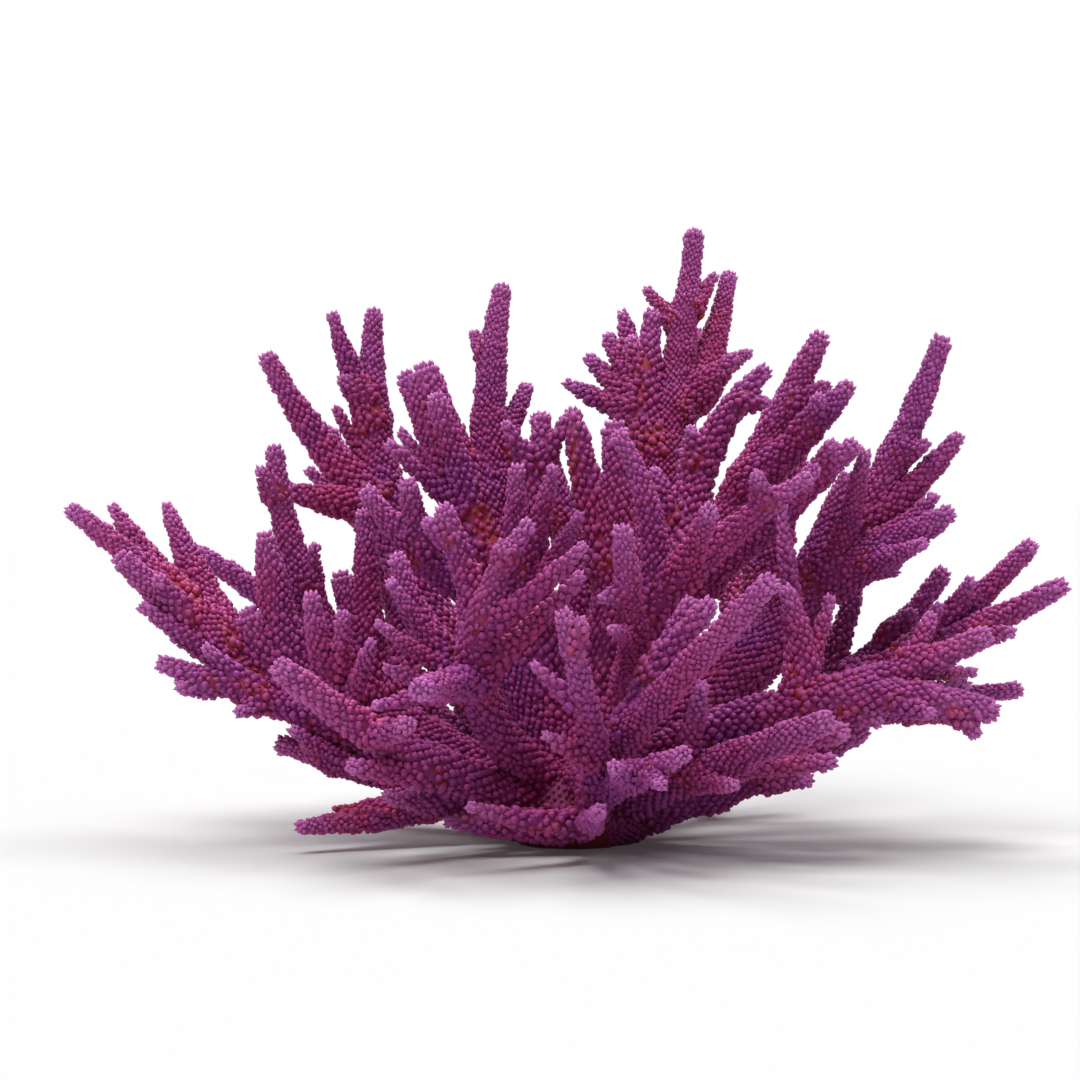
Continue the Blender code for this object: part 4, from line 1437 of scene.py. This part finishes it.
@dataclass
class Foot:
    """The fused foot of the colony: a low lumpy dome, cut off flat underneath, with small cups and bare skin.

    A lump is a strength, how many there are round the dome, its phase, and how it drifts with height.
    """

    around: Neighbourhood
    random: np.random.Generator
    sides: int = 72
    rings: int = 24
    cup_area: float = 9.5
    sunk: float = 0.6
    crown_height: float = 41.6
    crown_width: float = 6.0
    first_cup: float = 0.9
    cup_depth: float = -0.6
    lean: float = 0.9
    low_lean: float = 1.2
    low_height: float = 3.0
    cup_sizes: Span = (0.85, 1.1)
    tint: float = 0.3
    patch_level: float = 0.75
    patch_height: float = 90.0
    patch_waves: tuple[Point, ...] = ((0.3, 3.0, 0.4), (0.25, 5.0, 2.0))
    bare_slope: float = 1.7
    bare_most: float = 0.7
    bare_size: float = 0.2
    lump_waves: tuple[tuple[float, float, float, float], ...] = (
        (0.05, 3.0, 1.0, 0.0),
        (0.03, 5.0, math.pi / 2.0, 0.0),
        (0.018, 11.0, 0.0, 0.16),
    )

    def lumps(self, angle: np.ndarray, height: np.ndarray) -> np.ndarray:
        """How much the dome swells.

        Args:
            angle: angles round the dome
            height: the height at each
        Returns:
            a share of the dome's radius for each
        """
        swell = 1.0
        for strength, count, phase, drift in self.lump_waves:
            swell = swell + strength * np.sin(count * angle + phase + drift * height)
        return swell

    def profile(self) -> tuple[np.ndarray, np.ndarray]:
        """Heights and radii of the dome's rings, from the cut to near the crown.

        Returns:
            the heights, then the radii
        """
        levels, shares = zip(*GROWTH.foot_levels)
        heights = (0.0, *levels, self.crown_height)
        widths = (GROWTH.foot_cut, *(GROWTH.foot_widest * share for share in shares), self.crown_width)
        share = np.linspace(0.0, 1.0, self.rings)
        knots = np.linspace(0.0, 1.0, len(heights))
        return np.interp(share, knots, heights), np.interp(share, knots, widths) - self.sunk

    def grow(self) -> Skin:
        """Builds the dome, its flat cut and the seats of its cups.

        Returns:
            the skin of the foot
        """
        skin = Skin()
        heights, widths = self.profile()
        turn = np.arange(self.sides) * 2.0 * math.pi / self.sides
        angle, height = np.meshgrid(turn, heights)
        width = widths[:, None] * self.lumps(angle, height)
        places = np.stack((width * np.cos(angle), width * np.sin(angle), height), axis=2).reshape(-1, 3)
        centres = np.array(((0.0, 0.0, GROWTH.foot_top - 0.2), (0.0, 0.0, 0.0)))
        everything = np.concatenate((places, centres))
        faces = tube_faces(len(heights), self.sides)
        skin.add(everything, faces, web=self.bareness(everything), tint=self.tint)
        self.add_seats(skin, heights, widths)
        return skin

    def bareness(self, places: np.ndarray) -> np.ndarray:
        """How bare the dome is at places: bare in patches on its flanks and round the cut.

        Args:
            places: one row for each place
        Returns:
            a bareness from 0 to 1 for each
        """
        angle = np.arctan2(places[:, 1], places[:, 0])
        patches = self.patch_level
        for strength, count, phase in self.patch_waves:
            patches = patches + strength * np.sin(count * angle + phase)
        return np.clip(patches - places[:, 2] / self.patch_height, 0.0, 1.0)

    def add_seats(self, skin: Skin, heights: np.ndarray, widths: np.ndarray) -> None:
        """Adds the seats of the cups, one golden turn apart up the dome.

        Args:
            skin: the skin they are added to
            heights: the heights of the dome's rings
            widths: their radii
        """
        slant = np.hypot(np.diff(heights), np.diff(widths))
        run = np.concatenate(([0.0], np.cumsum(slant)))
        area = np.concatenate(([0.0], np.cumsum(math.pi * (widths[1:] + widths[:-1]) * slant)))
        order = np.arange(int(area[-1] / self.cup_area))
        at = np.interp((order + 0.5) * self.cup_area, area, run)
        height = np.interp(at, run, heights)
        angle = (order * GOLDEN_TURN) % (2.0 * math.pi)
        width = np.interp(at, run, widths) * self.lumps(angle, height)
        places = np.stack((width * np.cos(angle), width * np.sin(angle), height), axis=1)
        slope_up = np.interp(at, run[1:], np.diff(heights) / slant)
        slope_in = np.interp(at, run[1:], np.diff(widths) / slant)
        radial = np.stack((np.cos(angle), np.sin(angle), angle * 0.0), axis=1)
        outward = unit(radial * slope_up[:, None] - UP * slope_in[:, None])
        upward = unit(radial * slope_in[:, None] + UP * slope_up[:, None])
        bare = self.bareness(places)
        open_air = height > self.first_cup
        for shoot in self.around.shoots:
            open_air &= shoot.outside(places) > self.cup_depth
        missing = np.clip(bare * self.bare_slope - 1.0, 0.0, self.bare_most)
        keep = open_air & (self.random.random(len(order)) > missing)
        lean = self.lean + self.low_lean * np.clip(1.0 - height / self.low_height, 0.0, 1.0)
        aim = unit(outward + upward * lean[:, None])
        grow = self.random.uniform(*self.cup_sizes, len(order)) * (1.0 - self.bare_size * bare)
        size = np.repeat(grow[:, None], 3, axis=1)
        skin.add_seats(keep, places, aim=aim, lean=upward, grow=size, web=bare, tint=self.tint)


@dataclass(frozen=True)
class Lamp:
    """A broad soft lamp, with the angle it fills in degrees and its lean to the front and the side."""

    name: str
    strength: float
    spread: float
    forward: float
    aside: float

    def build(self) -> None:
        """Hangs the lamp."""
        data = bpy.data.lights.new(self.name, "SUN")
        data.energy = self.strength
        data.angle = math.radians(self.spread)
        lamp = bpy.data.objects.new(self.name, data)
        lamp.rotation_euler = Euler((self.forward, self.aside, 0.0))
        bpy.context.scene.collection.objects.link(lamp)


@dataclass(frozen=True)
class Studio:
    """A plain white studio: the floor, the lamps, the white surround and the camera."""

    floor_size: float = 60.0
    floor_colour: Colour = (0.65, 0.65, 0.65, 1.0)
    floor_lift: float = 0.03
    fill_strength: float = 0.06
    camera_place: Point = (-0.016, -1.380, 0.170)
    camera_drop: float = 1.28
    lens: float = 100.0
    lamps: tuple[Lamp, ...] = (
        Lamp("left", 1.55, 24.0, -0.58, -0.22),
        Lamp("right", 2.05, 50.0, -0.14, 0.22),
        Lamp("front", 1.4, 26.0, 0.42, -0.32),
    )

    def build(self) -> None:
        """Builds the whole studio."""
        self.floor()
        self.surround()
        for lamp in self.lamps:
            lamp.build()
        self.camera()

    def floor(self) -> None:
        """A wide floor that is white to the camera and keeps the colony's shadow."""
        half = self.floor_size / 2.0
        data = bpy.data.meshes.new("floor")
        corners = ((-half, -half, 0.0), (half, -half, 0.0), (half, half, 0.0), (-half, half, 0.0))
        data.from_pydata(corners, [], ((0, 1, 2, 3),))
        floor = bpy.data.objects.new("floor", data)
        bpy.context.scene.collection.objects.link(floor)
        material = bpy.data.materials.new("white floor")
        material.use_nodes = True
        board = NodeBoard(material.node_tree)
        looks = {"Base Color": self.floor_colour, "Roughness": 0.9, "Specular IOR Level": 0.0}
        lift = {"Emission Color": WHITE, "Emission Strength": board.times(self.seen(board), self.floor_lift)}
        board.fill(material.node_tree.nodes["Principled BSDF"], {**looks, **lift})
        data.materials.append(material)

    def surround(self) -> None:
        """Even light from all round, white where the camera sees it."""
        world = bpy.data.worlds.new("white surround")
        bpy.context.scene.world = world
        world.use_nodes = True
        board = NodeBoard(world.node_tree)
        white = board.times(self.seen(board), 1.0 - self.fill_strength)
        strength = board.plus(white, self.fill_strength)
        board.fill(world.node_tree.nodes["Background"], {"Color": WHITE, "Strength": strength})

    def seen(self, board: NodeBoard) -> bpy.types.NodeSocket:
        """Whether a ray comes from the camera or from a reflection."""
        path = board.add("ShaderNodeLightPath").outputs
        return board.math("MAXIMUM", path["Is Camera Ray"], path["Is Glossy Ray"])

    def camera(self) -> None:
        """A long lens near the floor, in front of the colony."""
        data = bpy.data.cameras.new("camera")
        data.lens = self.lens
        data.sensor_width = 36.0
        camera = bpy.data.objects.new("camera", data)
        camera.location = self.camera_place
        camera.rotation_euler = Euler((math.radians(90.0 - self.camera_drop), 0.0, 0.0))
        bpy.context.scene.collection.objects.link(camera)
        bpy.context.scene.camera = camera
        bpy.context.scene.view_settings.view_transform = "Standard"


@dataclass(frozen=True)
class Variety:
    """How much the branches differ in tint and in the size of their cups, and the shoots of one branch."""

    pinkness: Span = (0.0, 0.55)
    coarseness: Span = (0.84, 1.18)
    tint_swing: float = 0.16
    tint_most: float = 0.9
    shoot_sizes: Span = (0.94, 1.06)

    def skin(self, shoots: list[Shoot], around: Neighbourhood, seed: int) -> Skin:
        """Grows the skin of one branch.

        Args:
            shoots: its shoots
            around: all the shoots of the colony
            seed: sets it apart from the other branches
        Returns:
            the skin, with its cup seats
        """
        random = np.random.default_rng(seed)
        pinkness = float(random.uniform(*self.pinkness))
        coarseness = float(random.uniform(*self.coarseness))
        skin = Skin()
        for shoot in shoots:
            tint = float(np.clip(pinkness + random.normal(0.0, self.tint_swing), 0.0, self.tint_most))
            fineness = coarseness * float(random.uniform(*self.shoot_sizes))
            ShootSkin(shoot, around, tint, random, fineness=fineness).grow(skin)
        return skin


def main() -> None:
    """Grows the colony, dresses each branch and the foot, and sets up the studio."""
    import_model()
    colony = Colony(BRANCHES)
    around = Neighbourhood(colony.shoots)
    dresser = Dresser(Cup(), LivingSkin())
    variety = Variety()
    faces = 0
    for number, branch in enumerate(BRANCHES):
        skin = variety.skin(colony.by_branch[branch.name], around, FIRST_SEED + number)
        finish = Finish.ARM if branch.parent == "holdfast" else Finish.BRANCH
        faces += dresser.dress(f"{branch.name}_living", branch.name, skin, finish, number)
    foot = Foot(around, np.random.default_rng(FOOT_SEED)).grow()
    faces += dresser.dress("holdfast_living", "holdfast", foot, Finish.FOOT, FOOT_CUP_SEED)
    LOG.info("the colony has %d triangles", faces)
    Studio().build()


if __name__ == "__main__":
    logging.basicConfig(level=logging.INFO, format="%(name)s: %(message)s")
    main()
